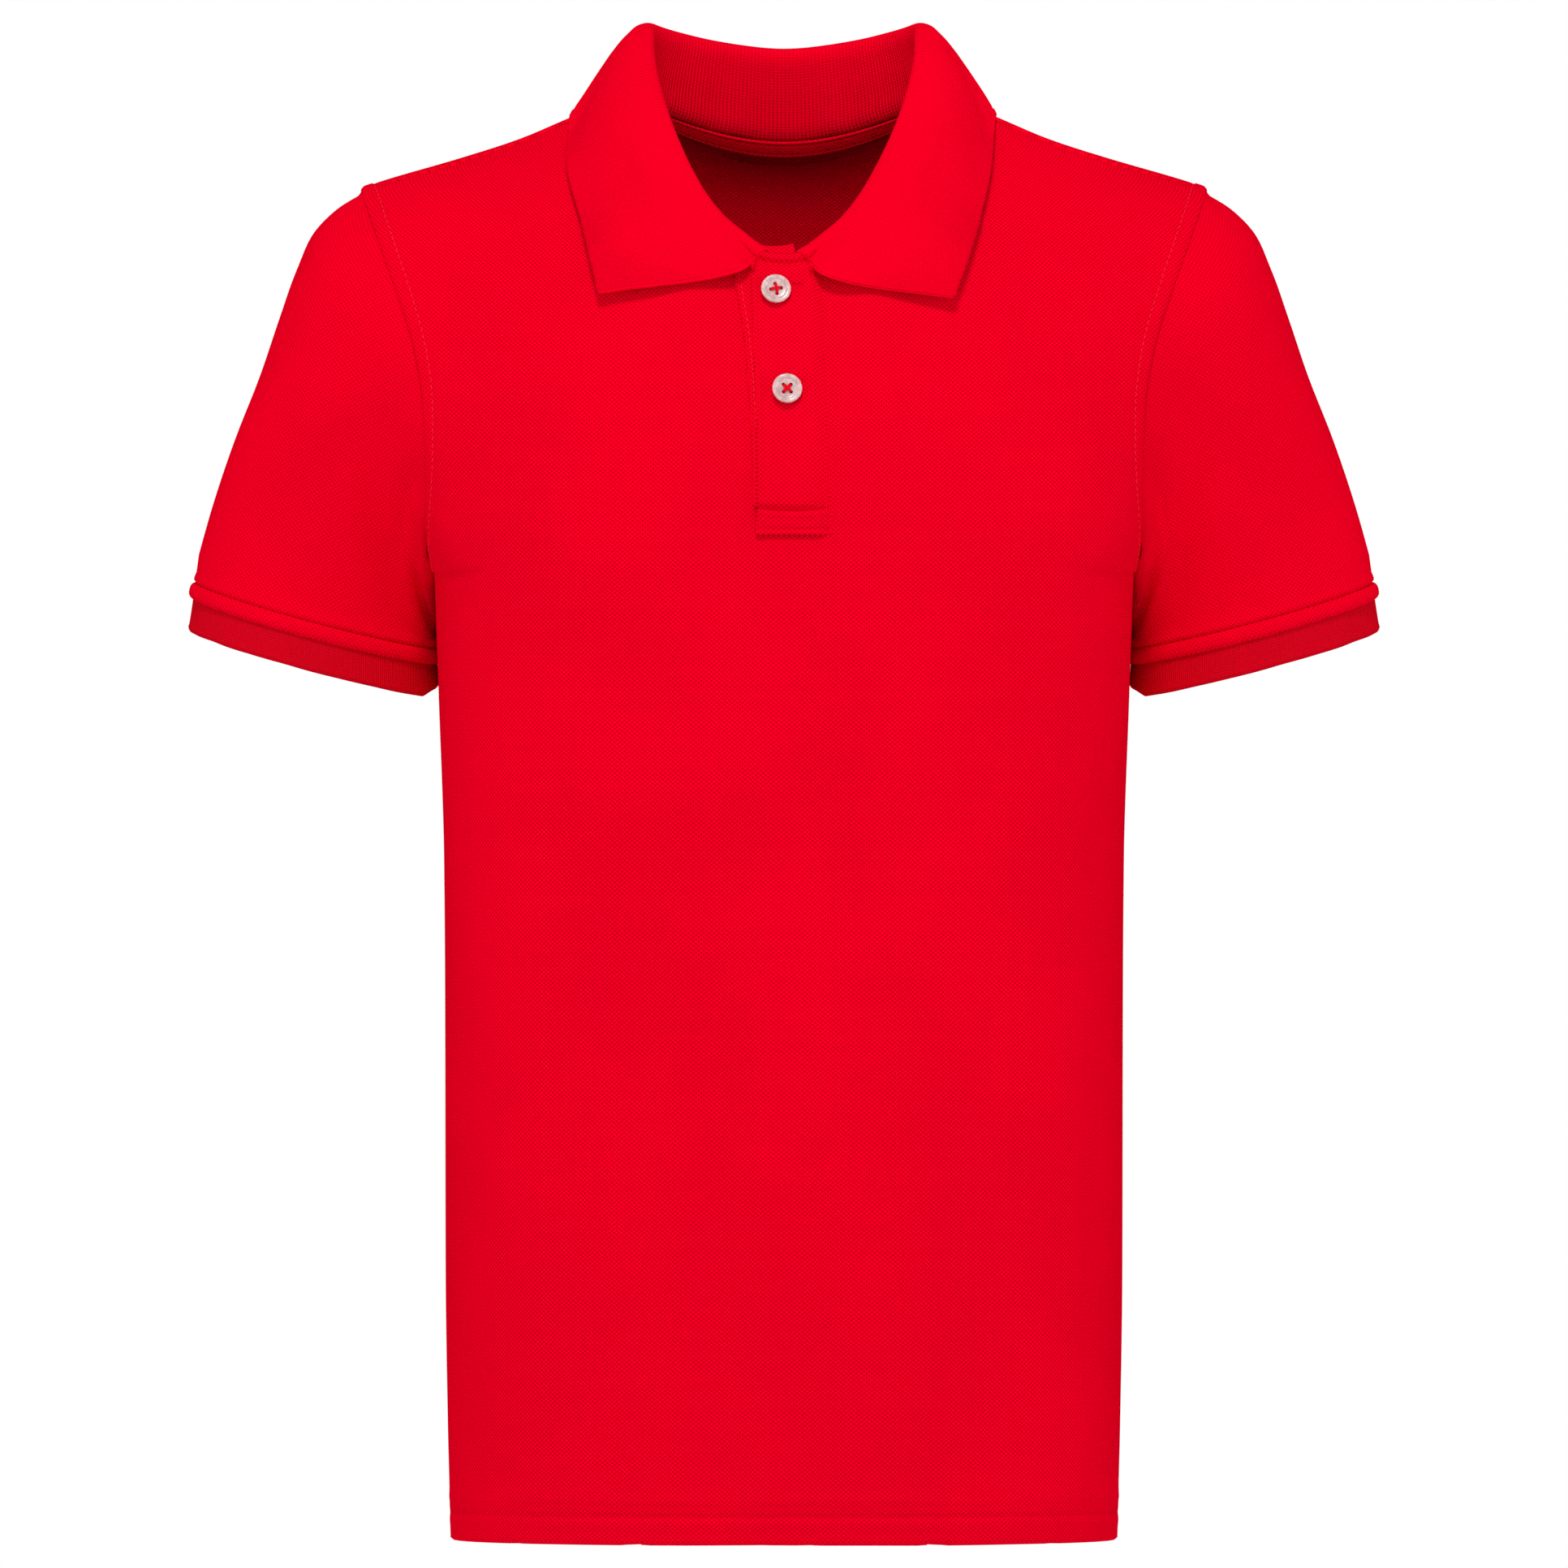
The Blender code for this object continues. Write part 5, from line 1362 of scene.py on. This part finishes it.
def clear_of_body(at):
    """Moves a point of the leaf off the body, or off the placket near the middle."""
    x, y, z = at
    if abs(x) > TIP_X or z > float(shoulder_z(abs(x))) - LEAF_SHOULDER or z < UNDERARM_Z:
        return at
    side = -1 if y < 0.0 else 1
    r, v = locate(side, x, z)
    if v > 0.995:
        return at
    body = panel_point(side, r, v)
    normal = panel_normal(side, r, v)
    clear = LEAF_CLEAR
    if side < 0:
        past = float(ease((abs(x) - LEAF_CLEAR_FROM) / LEAF_CLEAR_FADE))
        clear = mix(LEAF_CLEAR_PLACKET, LEAF_CLEAR, past)
    limit = body[1] + side * clear / max(abs(normal[1]), 0.4)
    moved = np.array(at)
    moved[1] = min(y, limit) if side < 0 else max(y, limit)
    return moved


def collar_section(curves, first, omega, sign):
    """The collar's points from the neck seam up the stand, over the fold and down the leaf."""
    def fold_at(angle):
        return np.array([float(curve(angle)) for curve in curves[:3]]) * side_flip(sign)

    fold = fold_at(omega)
    ahead = fold_at(min(omega + 1.5, 180.0))
    behind = fold_at(max(omega - 1.5, first))
    if omega > 178.5:
        ahead = behind * side_flip(-1)
    run = unit(ahead - behind)
    base, upward = neckline(omega, sign)
    away = unit(np.cross(run, unit(fold - base))) * sign
    lift = unit(np.cross(away, run)) * sign
    past_first = omega - first
    radius = mix(FOLD_RADIUS_FRONT, FOLD_RADIUS_BACK, float(ease(past_first / 60.0)))
    centre = fold - lift * radius
    root = base + upward * SEAM
    risen = root + upward * STAND_START
    section = [root, risen] + [mix(risen, centre - away * radius, t) for t in (0.35, 0.70)]
    for turn in FOLD_TURN * np.arange(4) / 3:
        section.append(centre + radius * (lift * math.sin(turn) - away * math.cos(turn)))
    begin = section[-1]
    body, normal = body_under(sign * float(curves[3](omega)), float(curves[4](omega)))
    off = mix(LEAF_LIFT_TIP, LEAF_LIFT, float(ease(past_first / 30.0)))
    edge = body + normal * mix(off, LEAF_LIFT_SHOULDER, bump(omega - SHOULDER_OMEGA, SHOULDER_FADE))
    leave = unit(lift * math.cos(FOLD_TURN) + away * math.sin(FOLD_TURN))
    sag = np.array([0.0, 0.0, -LEAF_SAG[sign] * float(1 - ease(past_first / SAG_FADE))])
    after_fold = begin + leave * np.linalg.norm(edge - begin) * 0.22 + sag
    before_edge = mix(edge, begin, 0.35) + normal * 0.0015 + sag
    leaf = [bezier(begin, after_fold, before_edge, edge, t) for t in LEAF_SHARES]
    return section + [clear_of_body(at) for at in leaf[:-1]] + leaf[-1:]


def collar_half(sign):
    first, curves = collar_curves(sign)
    front, back = COLLAR_STATIONS_FRONT, COLLAR_STATIONS_BACK
    omegas = [mix(first, 90.0, k / front) for k in range(front)]
    omegas += [mix(90.0, 180.0, k / back) for k in range(back + 1)]
    return np.array([collar_section(curves, first, omega, sign) for omega in omegas])


def refined(grid, axis, factor):
    """More points along one axis of a grid, on smooth curves through the ones it has."""
    grid = np.moveaxis(grid, axis, 0)
    run = lengths(grid, 0).mean(axis=1)
    last = len(grid) - 1
    at = [np.linspace(run[k], run[k + 1], factor, endpoint=False) for k in range(last)]
    at = np.concatenate(at + [run[-1:]])
    gap = np.diff(run)[:, None, None]
    leave = tangents(gap, np.diff(grid, axis=0) / gap)
    k = np.clip(np.searchsorted(run, at, side="right") - 1, 0, last - 1)
    t = ((at - run[k]) / np.diff(run)[k])[:, None, None]
    value = cubic(t, grid[k], gap[k] * leave[k], grid[k + 1], gap[k] * leave[k + 1])
    return np.moveaxis(value, 0, axis)


# The leaf's edge is a row of tiny teeth with a groove inside it.
TOOTH_PITCH = 0.0016
TOOTH_HEIGHT = 0.00016
TOOTH_WIDE = 0.0010
LEAF_EDGE = ((0.0010, 0.00022, 0.0009), (0.0026, -0.00020, 0.0007))
LEAF_ENDS = (0.0010, 0.00018, 0.0010)
LEAF_WAVE = 0.00025
STAND_PART = 0.40
STAND_LEAST = 0.12


def collar(name, node):
    left = collar_half(-1)
    right = collar_half(1)
    middle = (left[-1] + right[-1]) / 2
    middle[:, 0] = 0.0
    grid = np.concatenate((left[:-1], middle[None], right[:-1][::-1]))
    grid = refined(refined(grid, 0, 6), 1, 5)
    normal = grid_normals(grid, closed=False)
    along = lengths(grid, 0)
    down = lengths(grid, 1)
    to_edge = down[:, -1:] - down
    to_ends = np.minimum(along, along[-1:] - along)
    teeth = TOOTH_HEIGHT * np.sin(along[:, -1:] * 2 * math.pi / TOOTH_PITCH) * bump(to_edge, TOOTH_WIDE)
    grid = grid + unit(np.gradient(grid, axis=1)) * teeth[..., None]
    outside = grid_side(grid, normal)
    lift = ridges(to_edge, *LEAF_EDGE) + ridges(to_ends, LEAF_ENDS)
    wave = LEAF_WAVE * np.sin(along * 37 + down * 20)
    lift = lift + wave * ease(to_edge / 0.01) * ease(down / 0.03 - 1)
    outer = grid + normal * outside * (RIB / 2 + lift)[..., None]
    inner = grid - normal * outside * (RIB / 2)
    fold_row = int(grid.shape[1] * 0.45)
    u = np.broadcast_to(along[:, fold_row:fold_row + 1], along.shape)
    below_fold = np.clip(1 - np.arange(grid.shape[1]) / (grid.shape[1] * STAND_PART), 0, 1)
    stand = STAND_LEAST * (below_fold > 0) + (1 - STAND_LEAST) * below_fold ** 1.3
    stand = np.broadcast_to(stand, along.shape)
    made = shell(name, outer, inner, wrap(u, down), stand=stand)
    return finish_piece(made, COLLAR_RIB, node)


def grid_side(grid, normal):
    """1 where the normals of the leaf look away from the body, else -1."""
    leaf = grid.shape[1] * 3 // 4
    centre = np.array([0.0, 0.0, grid[0, leaf, 2]])
    return 1.0 if np.dot(normal[2, leaf], grid[2, leaf] - centre) > 0 else -1.0


# ---------------------------------------------------------------- neck tape
TAPE_WIDTH = 0.0072
TAPE_OFF = 0.0005
TAPE_THICK = 0.0009
TAPE_ROWS = (0.0015, TAPE_WIDTH - 0.0014)
TAPE_GROOVES = ((TAPE_ROWS[0], -0.00060, 0.00045), (TAPE_ROWS[1], -0.00060, 0.00045),
                (0.0, -0.00035, 0.0004), (TAPE_WIDTH, -0.00035, 0.0004))


def neck_tape(name, node):
    neck = float(fraction_at_top(NECK_X)) * 0.97
    fractions = np.sin(np.linspace(-math.pi / 2, math.pi / 2, 121)) * neck
    shares = np.linspace(0.03, 1.0, 19)
    v = 1.0 - shares[:, None] * TAPE_WIDTH / run_speed(1, fractions)[None, :]
    r = np.broadcast_to(fractions, v.shape)
    grid = panel_point(1, r, v)
    normal = panel_normal(1, r, v)
    down = shares[:, None] * TAPE_WIDTH
    lift = TAPE_THICK + ridges(down, *TAPE_GROOVES)
    outer = grid - normal * (CLOTH + TAPE_OFF + np.broadcast_to(lift, v.shape))[..., None]
    inner = grid - normal * (CLOTH + TAPE_OFF * 0.4)
    made = shell(name, outer, inner, wrap(lengths(grid, 1), -down))
    finish_piece(made, PIQUE, node)
    rows = [int(np.argmin(np.abs(down[:, 0] - at))) for at in TAPE_ROWS]
    return made, [(outer[row], -normal[row]) for row in rows]


# ---------------------------------------------------------------- placket
PLACKET_Z = column(PLACKET_EDGES, "z")
placket_left = curve_through(PLACKET_Z, column(PLACKET_EDGES, "left"))
placket_right = curve_through(PLACKET_Z, column(PLACKET_EDGES, "right"))
under_left = curve_through(PLACKET_Z, column(PLACKET_EDGES, "under_left"))
PLACKET_CLOTH = 0.0012
BOX_TOP_Z = -0.1512
BOX_BOTTOM_Z = -0.1592
HOLE_AT = (0.0040, -0.0662, 0.0026)
ROLL_HEIGHT = 0.0030
ROLL_LEFT = -0.0118
ROLL_RIGHT = 0.0105
ROLL_FADE = 0.0016
ROLL_RISE = 0.0012
BOX_BEND = 0.0009
BOX_MIDDLE = 0.0036
BOX_HALF = 0.0140
BOX_RIDGES = ((-0.0016, 0.00065, 0.0012), (0.0002, -0.00085, 0.0006), (-0.0044, 0.0004, 0.0028))
BOX_STITCH = (BOX_BOTTOM_Z + 0.0010, -0.00045, 0.0006)
TOP_LEFT_EDGE = ((0.0, -0.0003, 0.0006), (0.0016, 0.00025, 0.0014))
TOP_RIGHT_EDGE = (0.0016, -0.00016, 0.0006)
UNDER_EDGE = ((0.0030, 0.0002, 0.0020), (0.0016, -0.0003, 0.0005), (0.0, -0.0002, 0.0005))
BUTTON_PRESS = (0.0, -0.0003, 0.0075)
SLIT_GROOVE = (0.0, -0.0009, 0.0006)
STITCH_INSET = 0.0016
TOP_HEIGHTS = np.concatenate((np.linspace(PLACKET_END_Z, -0.1485, 30),
                              np.linspace(-0.1480, -0.0640, 120), np.linspace(-0.0635, -0.0520, 32)))
UNDER_HEIGHTS = np.concatenate((np.linspace(UNDER_END_Z, -0.0640, 90), np.linspace(-0.0632, -0.0540, 24)))


def neckline_z(x):
    return top_edge(-1, fraction_at_top(x))[..., 2]


def off_panel(x, z):
    """Point and normal of the front panel; above the neckline it runs straight on."""
    top_z = neckline_z(x)
    r, v = locate(-1, x, np.minimum(z, top_z - 1e-5))
    at = panel_point(-1, r, v)
    normal = panel_normal(-1, r, v)
    run = unit(panel_point(-1, r, v) - panel_point(-1, r, v - 0.02))
    extra = np.maximum(z - top_z, 0.0) / run[..., 2]
    return at + run * extra[..., None], normal


def strip_grid(left, right, heights, top_of, columns):
    """x and z of a strip's points; its last rows rise to follow its top end."""
    share = np.linspace(0, 1, columns)
    x = np.array([mix(left(z), right(z), share) for z in heights])
    rise = ease((heights - heights[-1] + 0.012) / 0.012)[:, None]
    return x, heights[:, None] + (top_of(x) - heights[-1]) * rise


def strip_piece(name, node, x, z, at, normal, outside, inside):
    outer = at + normal * outside[..., None]
    made = shell(name, outer, at + normal * inside[..., None], wrap(x, lengths(at, 0)))
    finish_piece(made, PIQUE, node)
    return made, dict(x=x, z=z, outer=outer, normal=normal)


def placket_top(name, node):
    """The upper strip, with its rolled top end, the stitched box at its foot and the buttonhole."""
    def top_of(x):
        between = ease((x - ROLL_LEFT) / ROLL_FADE) * ease((ROLL_RIGHT - x) / ROLL_FADE)
        return neckline_z(x) + mix(-0.0050, 0.0006, between)

    x, z = strip_grid(placket_left, placket_right, TOP_HEIGHTS, top_of, 60)
    at, normal = off_panel(x, z)
    to_right = placket_right(z) - x
    above = z - BOX_TOP_Z - BOX_BEND * ((x - BOX_MIDDLE) / BOX_HALF) ** 2
    over = (1 - ease((x - 0.0095) / 0.0070)) * ease((above + 0.0004) / 0.0030)
    out = 0.0004 + 0.0016 * over + ease((to_right - 0.0008) / 0.0016) * ridges(above, *BOX_RIDGES)
    out = out + ridges(x - placket_left(z), *TOP_LEFT_EDGE) + ridges(to_right, TOP_RIGHT_EDGE)
    out = out + ridges(z, BOX_STITCH)
    roll = top_of(x) - z
    rounded = np.sqrt(np.clip(1 - ((roll - ROLL_HEIGHT / 2) / (ROLL_HEIGHT / 2)) ** 2, 0, 1))
    out = out + ROLL_RISE * rounded - ridges(roll, (ROLL_HEIGHT + 0.0006, ROLL_RISE, 0.0008))
    for spec in BUTTONS:
        out = out + ridges(np.hypot(x - spec["x"], z - spec["z"]), BUTTON_PRESS)
    past_slit = np.maximum(np.abs(x - HOLE_AT[0]) - HOLE_AT[2], 0.0)
    out = out + ridges(np.hypot(past_slit, z - HOLE_AT[1]), SLIT_GROOVE)
    thin = ease(to_right / 0.0060)
    outside = out + mix(-0.0006, PLACKET_CLOTH - 0.0002, thin)
    inside = np.minimum(out, 0.0018) * INNER_WALL - 0.0008 * (1 - thin)
    return strip_piece(name, node, x, z, at, normal, outside, inside)


def placket_under(name, node):
    """The lower strip, with the tab at its top end that stands above the neckline."""
    def top_of(x):
        tab = ease((x + 0.0140) / 0.0020) * ease((0.0050 - x) / 0.0014)
        slant = 0.0010 * (x + 0.003) / 0.007
        return neckline_z(x) - 0.0020 + (0.0060 + slant) * tab

    x, z = strip_grid(under_left, lambda z: UNDER_RIGHT, UNDER_HEIGHTS, top_of, 50)
    at, normal = off_panel(x, z)
    out = 0.0003 + ridges(x - under_left(z), *UNDER_EDGE)
    tab = ease((z - neckline_z(x) + 0.0002) / 0.0006)
    return strip_piece(name, node, x, z, at, normal, out + PLACKET_CLOTH + 0.0003 * tab, out * 0.5)


def line_in(data, x_of, low, high):
    """The line at x_of(z) on a strip, between two heights."""
    line, facing = [], []
    for row in range(data["x"].shape[0]):
        z = data["z"][row].mean()
        if low < z < high:
            want = x_of(z)
            line.append(at_run(want, data["x"][row], data["outer"][row]))
            facing.append(at_run(want, data["x"][row], data["normal"][row]))
    return np.array(line), unit(np.array(facing))


BAR_RADIUS = 0.00019
BAR_PITCH = 0.00042
BAR_IN = 0.00022
BAR_OUT = 0.00085
END_BARS = 7
BAR_ARCH = ((0.0, -0.0001), (0.25, 0.00022), (0.75, 0.00022), (1.0, -0.0001))


def hole_bars(half):
    """Start and finish of each bar of thread: in pairs along the slit, then round its ends."""
    bars = []
    for k in range(int(2 * half / BAR_PITCH) + 1):
        at = -half + k * BAR_PITCH
        bars += [((at, side * BAR_IN), (at, side * BAR_OUT)) for side in (-1, 1)]
    for k in range(END_BARS):
        angle = math.pi * (k / (END_BARS - 1) - 0.5)
        near = half + 0.00020 * math.cos(angle)
        far = half + 0.00080 * math.cos(angle)
        up = math.sin(angle)
        bars += [((side * near, BAR_IN * up), (side * far, BAR_OUT * up)) for side in (-1, 1)]
    return bars


def buttonhole(name, data, x, z, half):
    """A worked slit: close bars of thread all round a narrow gap, in the dark thread that paints the
    slit's shade.
    """
    across, up = data["x"], data["z"]
    near = np.hypot(across - x, up - z)
    row, col = np.unravel_index(int(np.argmin(near)), near.shape)
    normal = data["normal"][row, col]
    along = unit(data["outer"][row, col + 1] - data["outer"][row, col - 1])
    rise = np.cross(normal, along)
    rise = rise if rise[2] > 0 else -rise
    base = data["outer"][row, col] + along * (x - across[row, col])
    base = base + rise * (z - up[row, col]) / rise[2]
    threads = Threads(THREAD_SIDES)
    for start, finish in hole_bars(half):
        start, finish = np.array(start), np.array(finish)
        heading = unit(finish - start)
        centres = []
        for share, high in BAR_ARCH:
            flat = mix(start, finish, share)
            centres.append(base + along * flat[0] + rise * flat[1] + normal * high)
        side = np.cross(normal, along * heading[0] + rise * heading[1])
        threads.add(centres, BAR_RADIUS * side, BAR_RADIUS * normal)
    return threads.piece(name, PAINTED_SHADE_THREAD)


# ---------------------------------------------------------------- buttons
BUTTON_LEANS = np.array([0.16, -0.36, 0.0])
BUTTON_LIFT = 0.0006


def button_place(spec):
    """A button on its shank of thread leans a little off the cloth, outward and to one side."""
    at, normal = off_panel(np.array([spec["x"]]), np.array([spec["z"]]))
    facing = unit(normal[0] + BUTTON_LEANS)
    across = unit(np.cross([0.0, 0.0, 1.0], facing))
    matrix = np.eye(4)
    matrix[:3, :] = np.column_stack((across, np.cross(facing, across), facing,
                                     at[0] + normal[0] * (BUTTON_OUT + BUTTON_LIFT + BUTTON_THICK / 2)))
    return Matrix(matrix.tolist())


BUTTON_PROFILE = (
    (0.0, 0.00042), (0.0026, 0.00044), (0.0034, 0.00050), (0.0039, 0.00066), (0.0042, 0.00098),
    (0.0045, 0.00112), (0.0050, 0.00119), (0.0053, 0.00112), (0.00555, 0.00088), (0.0057, 0.00050),
    (0.00565, 0.00010), (0.0053, -0.00045), (0.0046, -0.00095), (0.0038, -0.00118), (0.0, -0.00120),
)


def button_drills(spec):
    drills = bmesh.new()
    for k in range(4):
        angle = math.radians(spec["turn"] + 90 * k)
        place = Matrix.Translation((HOLE_SPREAD * math.cos(angle), HOLE_SPREAD * math.sin(angle), 0.0))
        bmesh.ops.create_cone(drills, cap_ends=True, segments=20, radius1=HOLE_RADIUS,
                              radius2=HOLE_RADIUS, depth=BUTTON_THICK * 3, matrix=place)
    mesh = bpy.data.meshes.new(spec["name"] + "_drills")
    drills.to_mesh(mesh)
    drills.free()
    return placed(spec["name"] + "_drills", mesh)


def button(spec):
    """A turned disc with four drilled holes."""
    mesh = bpy.data.meshes.new(spec["name"] + "_profile")
    lines = [(k, k + 1) for k in range(len(BUTTON_PROFILE) - 1)]
    mesh.from_pydata([(r, 0.0, z) for r, z in BUTTON_PROFILE], lines, [])
    turned = placed(spec["name"] + "_profile", mesh)
    screw = turned.modifiers.new("turned", "SCREW")
    screw.steps = screw.render_steps = 72
    screw.use_merge_vertices = True
    screw.merge_threshold = 0.00001
    drill = button_drills(spec)
    holes = turned.modifiers.new("holes", "BOOLEAN")
    holes.object = drill
    holes.operation = "DIFFERENCE"
    holes.solver = "EXACT"
    graph = bpy.context.evaluated_depsgraph_get()
    final = bpy.data.meshes.new_from_object(turned.evaluated_get(graph))
    final.name = spec["name"] + "_turned"
    for spare in (turned, drill):
        bpy.data.objects.remove(spare, do_unlink=True)
    made = placed(spec["name"] + "_turned", final)
    place = button_place(spec)
    made.matrix_world = place
    finish_piece(made, PEARL, spec["name"])
    final.set_sharp_from_angle(angle=math.radians(40))
    return made, place


CROSS_STEPS = 12
CROSS_SIDES = 8
STRAND_RADIUS = 0.00030
STRAND_SPREAD = 0.00027
STRAND_REACH = HOLE_SPREAD + 0.00025
BUTTON_FACE = 0.00042


def button_cross(spec, place):
    """Two bars of thread through opposite holes, each of three strands; the second lies on the first."""
    random = np.random.default_rng(11 + spec["turn"])
    threads = Threads(CROSS_SIDES)
    upright = np.array([0.0, 0.0, 1.0])
    for bar in range(2):
        angle = math.radians(spec["turn"] + 90 * bar)
        heading = np.array([math.cos(angle), math.sin(angle), 0.0])
        side = np.array([-heading[1], heading[0], 0.0])
        for strand in (-1, 0, 1):
            lean = random.normal(0, 0.00005)
            centres = []
            for t in np.linspace(-1, 1, CROSS_STEPS + 1):
                dive = ease((abs(t) - 0.80) / 0.20)
                arch = (0.0004 + 0.00034 * bar) * (1 - t * t)
                high = BUTTON_FACE + STRAND_RADIUS + arch - 0.0018 * dive
                off = strand * STRAND_SPREAD * (1 - 0.5 * dive) + lean
                centres.append(heading * t * STRAND_REACH + side * off + upright * high)
            threads.add(centres, STRAND_RADIUS * side, STRAND_RADIUS * upright)
    return threads.piece(spec["name"] + "_thread", BUTTON_THREAD, place)


# ---------------------------------------------------------------- the studio
HORIZON_LIGHT = 1.0
SKY_LIGHT = 0.36
HORIZON_BAND = 0.08
HORIZON_FADE = 0.25
FLOOR_Z = -0.85
FLOOR_RADIUS = 9.0
LAMPS = table(
    "name at size power",
    ("key", (-0.12, -1.5, 1.75), 0.65, 32.0),
    ("front", (0.15, -3.4, -0.1), 2.4, 11.0),
    ("side_left", (-3.0, -1.1, -0.2), 2.0, 20.0),
    ("side_right", (3.0, -1.1, -0.2), 2.0, 22.0),
    ("back", (0.0, 2.6, 1.6), 1.4, 20.0),
)


LAMPS_AIM = (0.0, 0.0, -0.16)


def floor_disc():
    disc = bmesh.new()
    bmesh.ops.create_circle(disc, cap_ends=True, segments=96, radius=FLOOR_RADIUS)
    mesh = bpy.data.meshes.new("floor")
    disc.to_mesh(mesh)
    disc.free()
    floor = placed("floor", mesh)
    floor.location.z = FLOOR_Z
    paint = Graph("floor_paint", (0.90, 0.90, 0.90, 1), 0.9)
    paint.set("Specular IOR Level", 0.0)
    mesh.materials.append(paint.material)


def surround():
    """White all round at the height of the shirt, fading to a dimmer sky."""
    world = bpy.data.worlds.new("studio")
    bpy.context.scene.world = world
    world.use_nodes = True
    tree = world.node_tree
    direction = tree.nodes.new("ShaderNodeTexCoord")
    parts = tree.nodes.new("ShaderNodeSeparateXYZ")
    tree.links.new(direction.outputs["Generated"], parts.inputs[0])
    height = tree.nodes.new("ShaderNodeMath")
    height.operation = "ABSOLUTE"
    tree.links.new(parts.outputs[2], height.inputs[0])
    fade = tree.nodes.new("ShaderNodeMapRange")
    fade.interpolation_type = "SMOOTHSTEP"
    levels = (HORIZON_BAND, HORIZON_BAND + HORIZON_FADE, HORIZON_LIGHT, SKY_LIGHT)
    for name, number in zip(RANGE_SOCKETS, levels):
        fade.inputs[name].default_value = number
    tree.links.new(height.outputs[0], fade.inputs["Value"])
    tree.links.new(fade.outputs["Result"], tree.nodes["Background"].inputs["Color"])


def lamp(name, at, size, power):
    light = bpy.data.lights.new(name, "AREA")
    light.shape = "DISK"
    light.size = size
    light.energy = power
    made = placed(name, light)
    made.location = at
    aim = Vector(LAMPS_AIM) - Vector(at)
    made.rotation_euler = aim.to_track_quat("-Z", "Y").to_euler()


def studio():
    """A pale floor under a white surround, the lamps, and the photo's camera."""
    floor_disc()
    surround()
    for spec in LAMPS:
        lamp(**spec)
    data = bpy.data.cameras.new("camera")
    data.sensor_width = SENSOR
    data.lens = SENSOR * CAMERA_AWAY / FRAME_WIDTH
    data.clip_end = 200.0
    camera = placed("camera", data)
    camera.location = (0.0, -CAMERA_AWAY, CAMERA_Z)
    camera.rotation_euler = (math.pi / 2, 0.0, 0.0)
    bpy.context.scene.camera = camera
    bpy.context.scene.view_settings.view_transform = "Standard"


# ---------------------------------------------------------------- put together
FRONT_SPACING = 0.0030
BACK_SPACING = 0.0036


def hem_line(data, col):
    """The row of the hem's stitches, found on one column."""
    row = int(np.argmin(np.abs(data["grid"][:60, col, 2] - HEM_STITCH_Z)))
    return row_line(data, row, slice(HEM_STITCH_FROM, -HEM_STITCH_FROM))


def main():
    front, front_data = panel("front_cloth", "front", -1, FRONT_SPACING)
    back, back_data = panel("back_cloth", "back", 1, BACK_SPACING)
    runs_front = [armhole_line(front_data, sign) for sign in (-1, 1)]
    runs_back = [armhole_line(back_data, sign) for sign in (-1, 1)]
    armhole_front = stitches("armhole_stitches_front", runs_front, seed=3, material=PAINTED_HIGHLIGHT_THREAD)
    armhole_back = stitches("armhole_stitches_back", runs_back, seed=4, material=PAINTED_HIGHLIGHT_THREAD)
    hem_front = stitches("hem_stitches_front", [hem_line(front_data, 60)], seed=5)
    hem_back = stitches("hem_stitches_back", [hem_line(back_data, 50)], seed=6)
    shoulder = [shoulder_line(front_data, sign) for sign in (-1, 1)]
    shoulder_stitches = stitches("shoulder_stitches", shoulder, seed=7)

    for side_name, sign in (("left", -1), ("right", 1)):
        made, band = sleeve("sleeve_%s_cloth" % side_name, "sleeve_" + side_name, sign)
        held = stitches("band_stitches_" + side_name, [band], 8 + sign, BAND_STITCH, PAINTED_SHADE_THREAD)
        ribbed = cuff("cuff_%s_rib" % side_name, "cuff_" + side_name, sign)

    collar_piece = collar("collar_rib", "collar")
    tape, tape_runs = neck_tape("neck_tape_cloth", "neck_tape")
    tape_stitches = stitches("tape_stitches", tape_runs, 12, TAPE_STITCH, PAINTED_SHADE_THREAD)
    top_strip, top_data = placket_top("placket_top_cloth", "placket_top")
    under_strip, under_data = placket_under("placket_under_cloth", "placket_under")
    top_runs = [
        line_in(top_data, lambda z: placket_right(z) - STITCH_INSET, -0.1500, -0.0590),
        line_in(top_data, lambda z: placket_left(z) + STITCH_INSET, -0.1490, -0.0590),
    ]
    under_run = line_in(under_data, lambda z: under_left(z) + STITCH_INSET, -0.1480, -0.0580)
    top_stitches = stitches("placket_top_stitches", top_runs, 13, FINE_STITCH)
    under_stitches = stitches("placket_under_stitches", [under_run], 14, FINE_STITCH, PAINTED_HIGHLIGHT_THREAD)
    hole = buttonhole("buttonhole_1", top_data, *HOLE_AT)
    for spec in BUTTONS:
        made, place = button(spec)
        button_cross(spec, place)

    studio()


main()
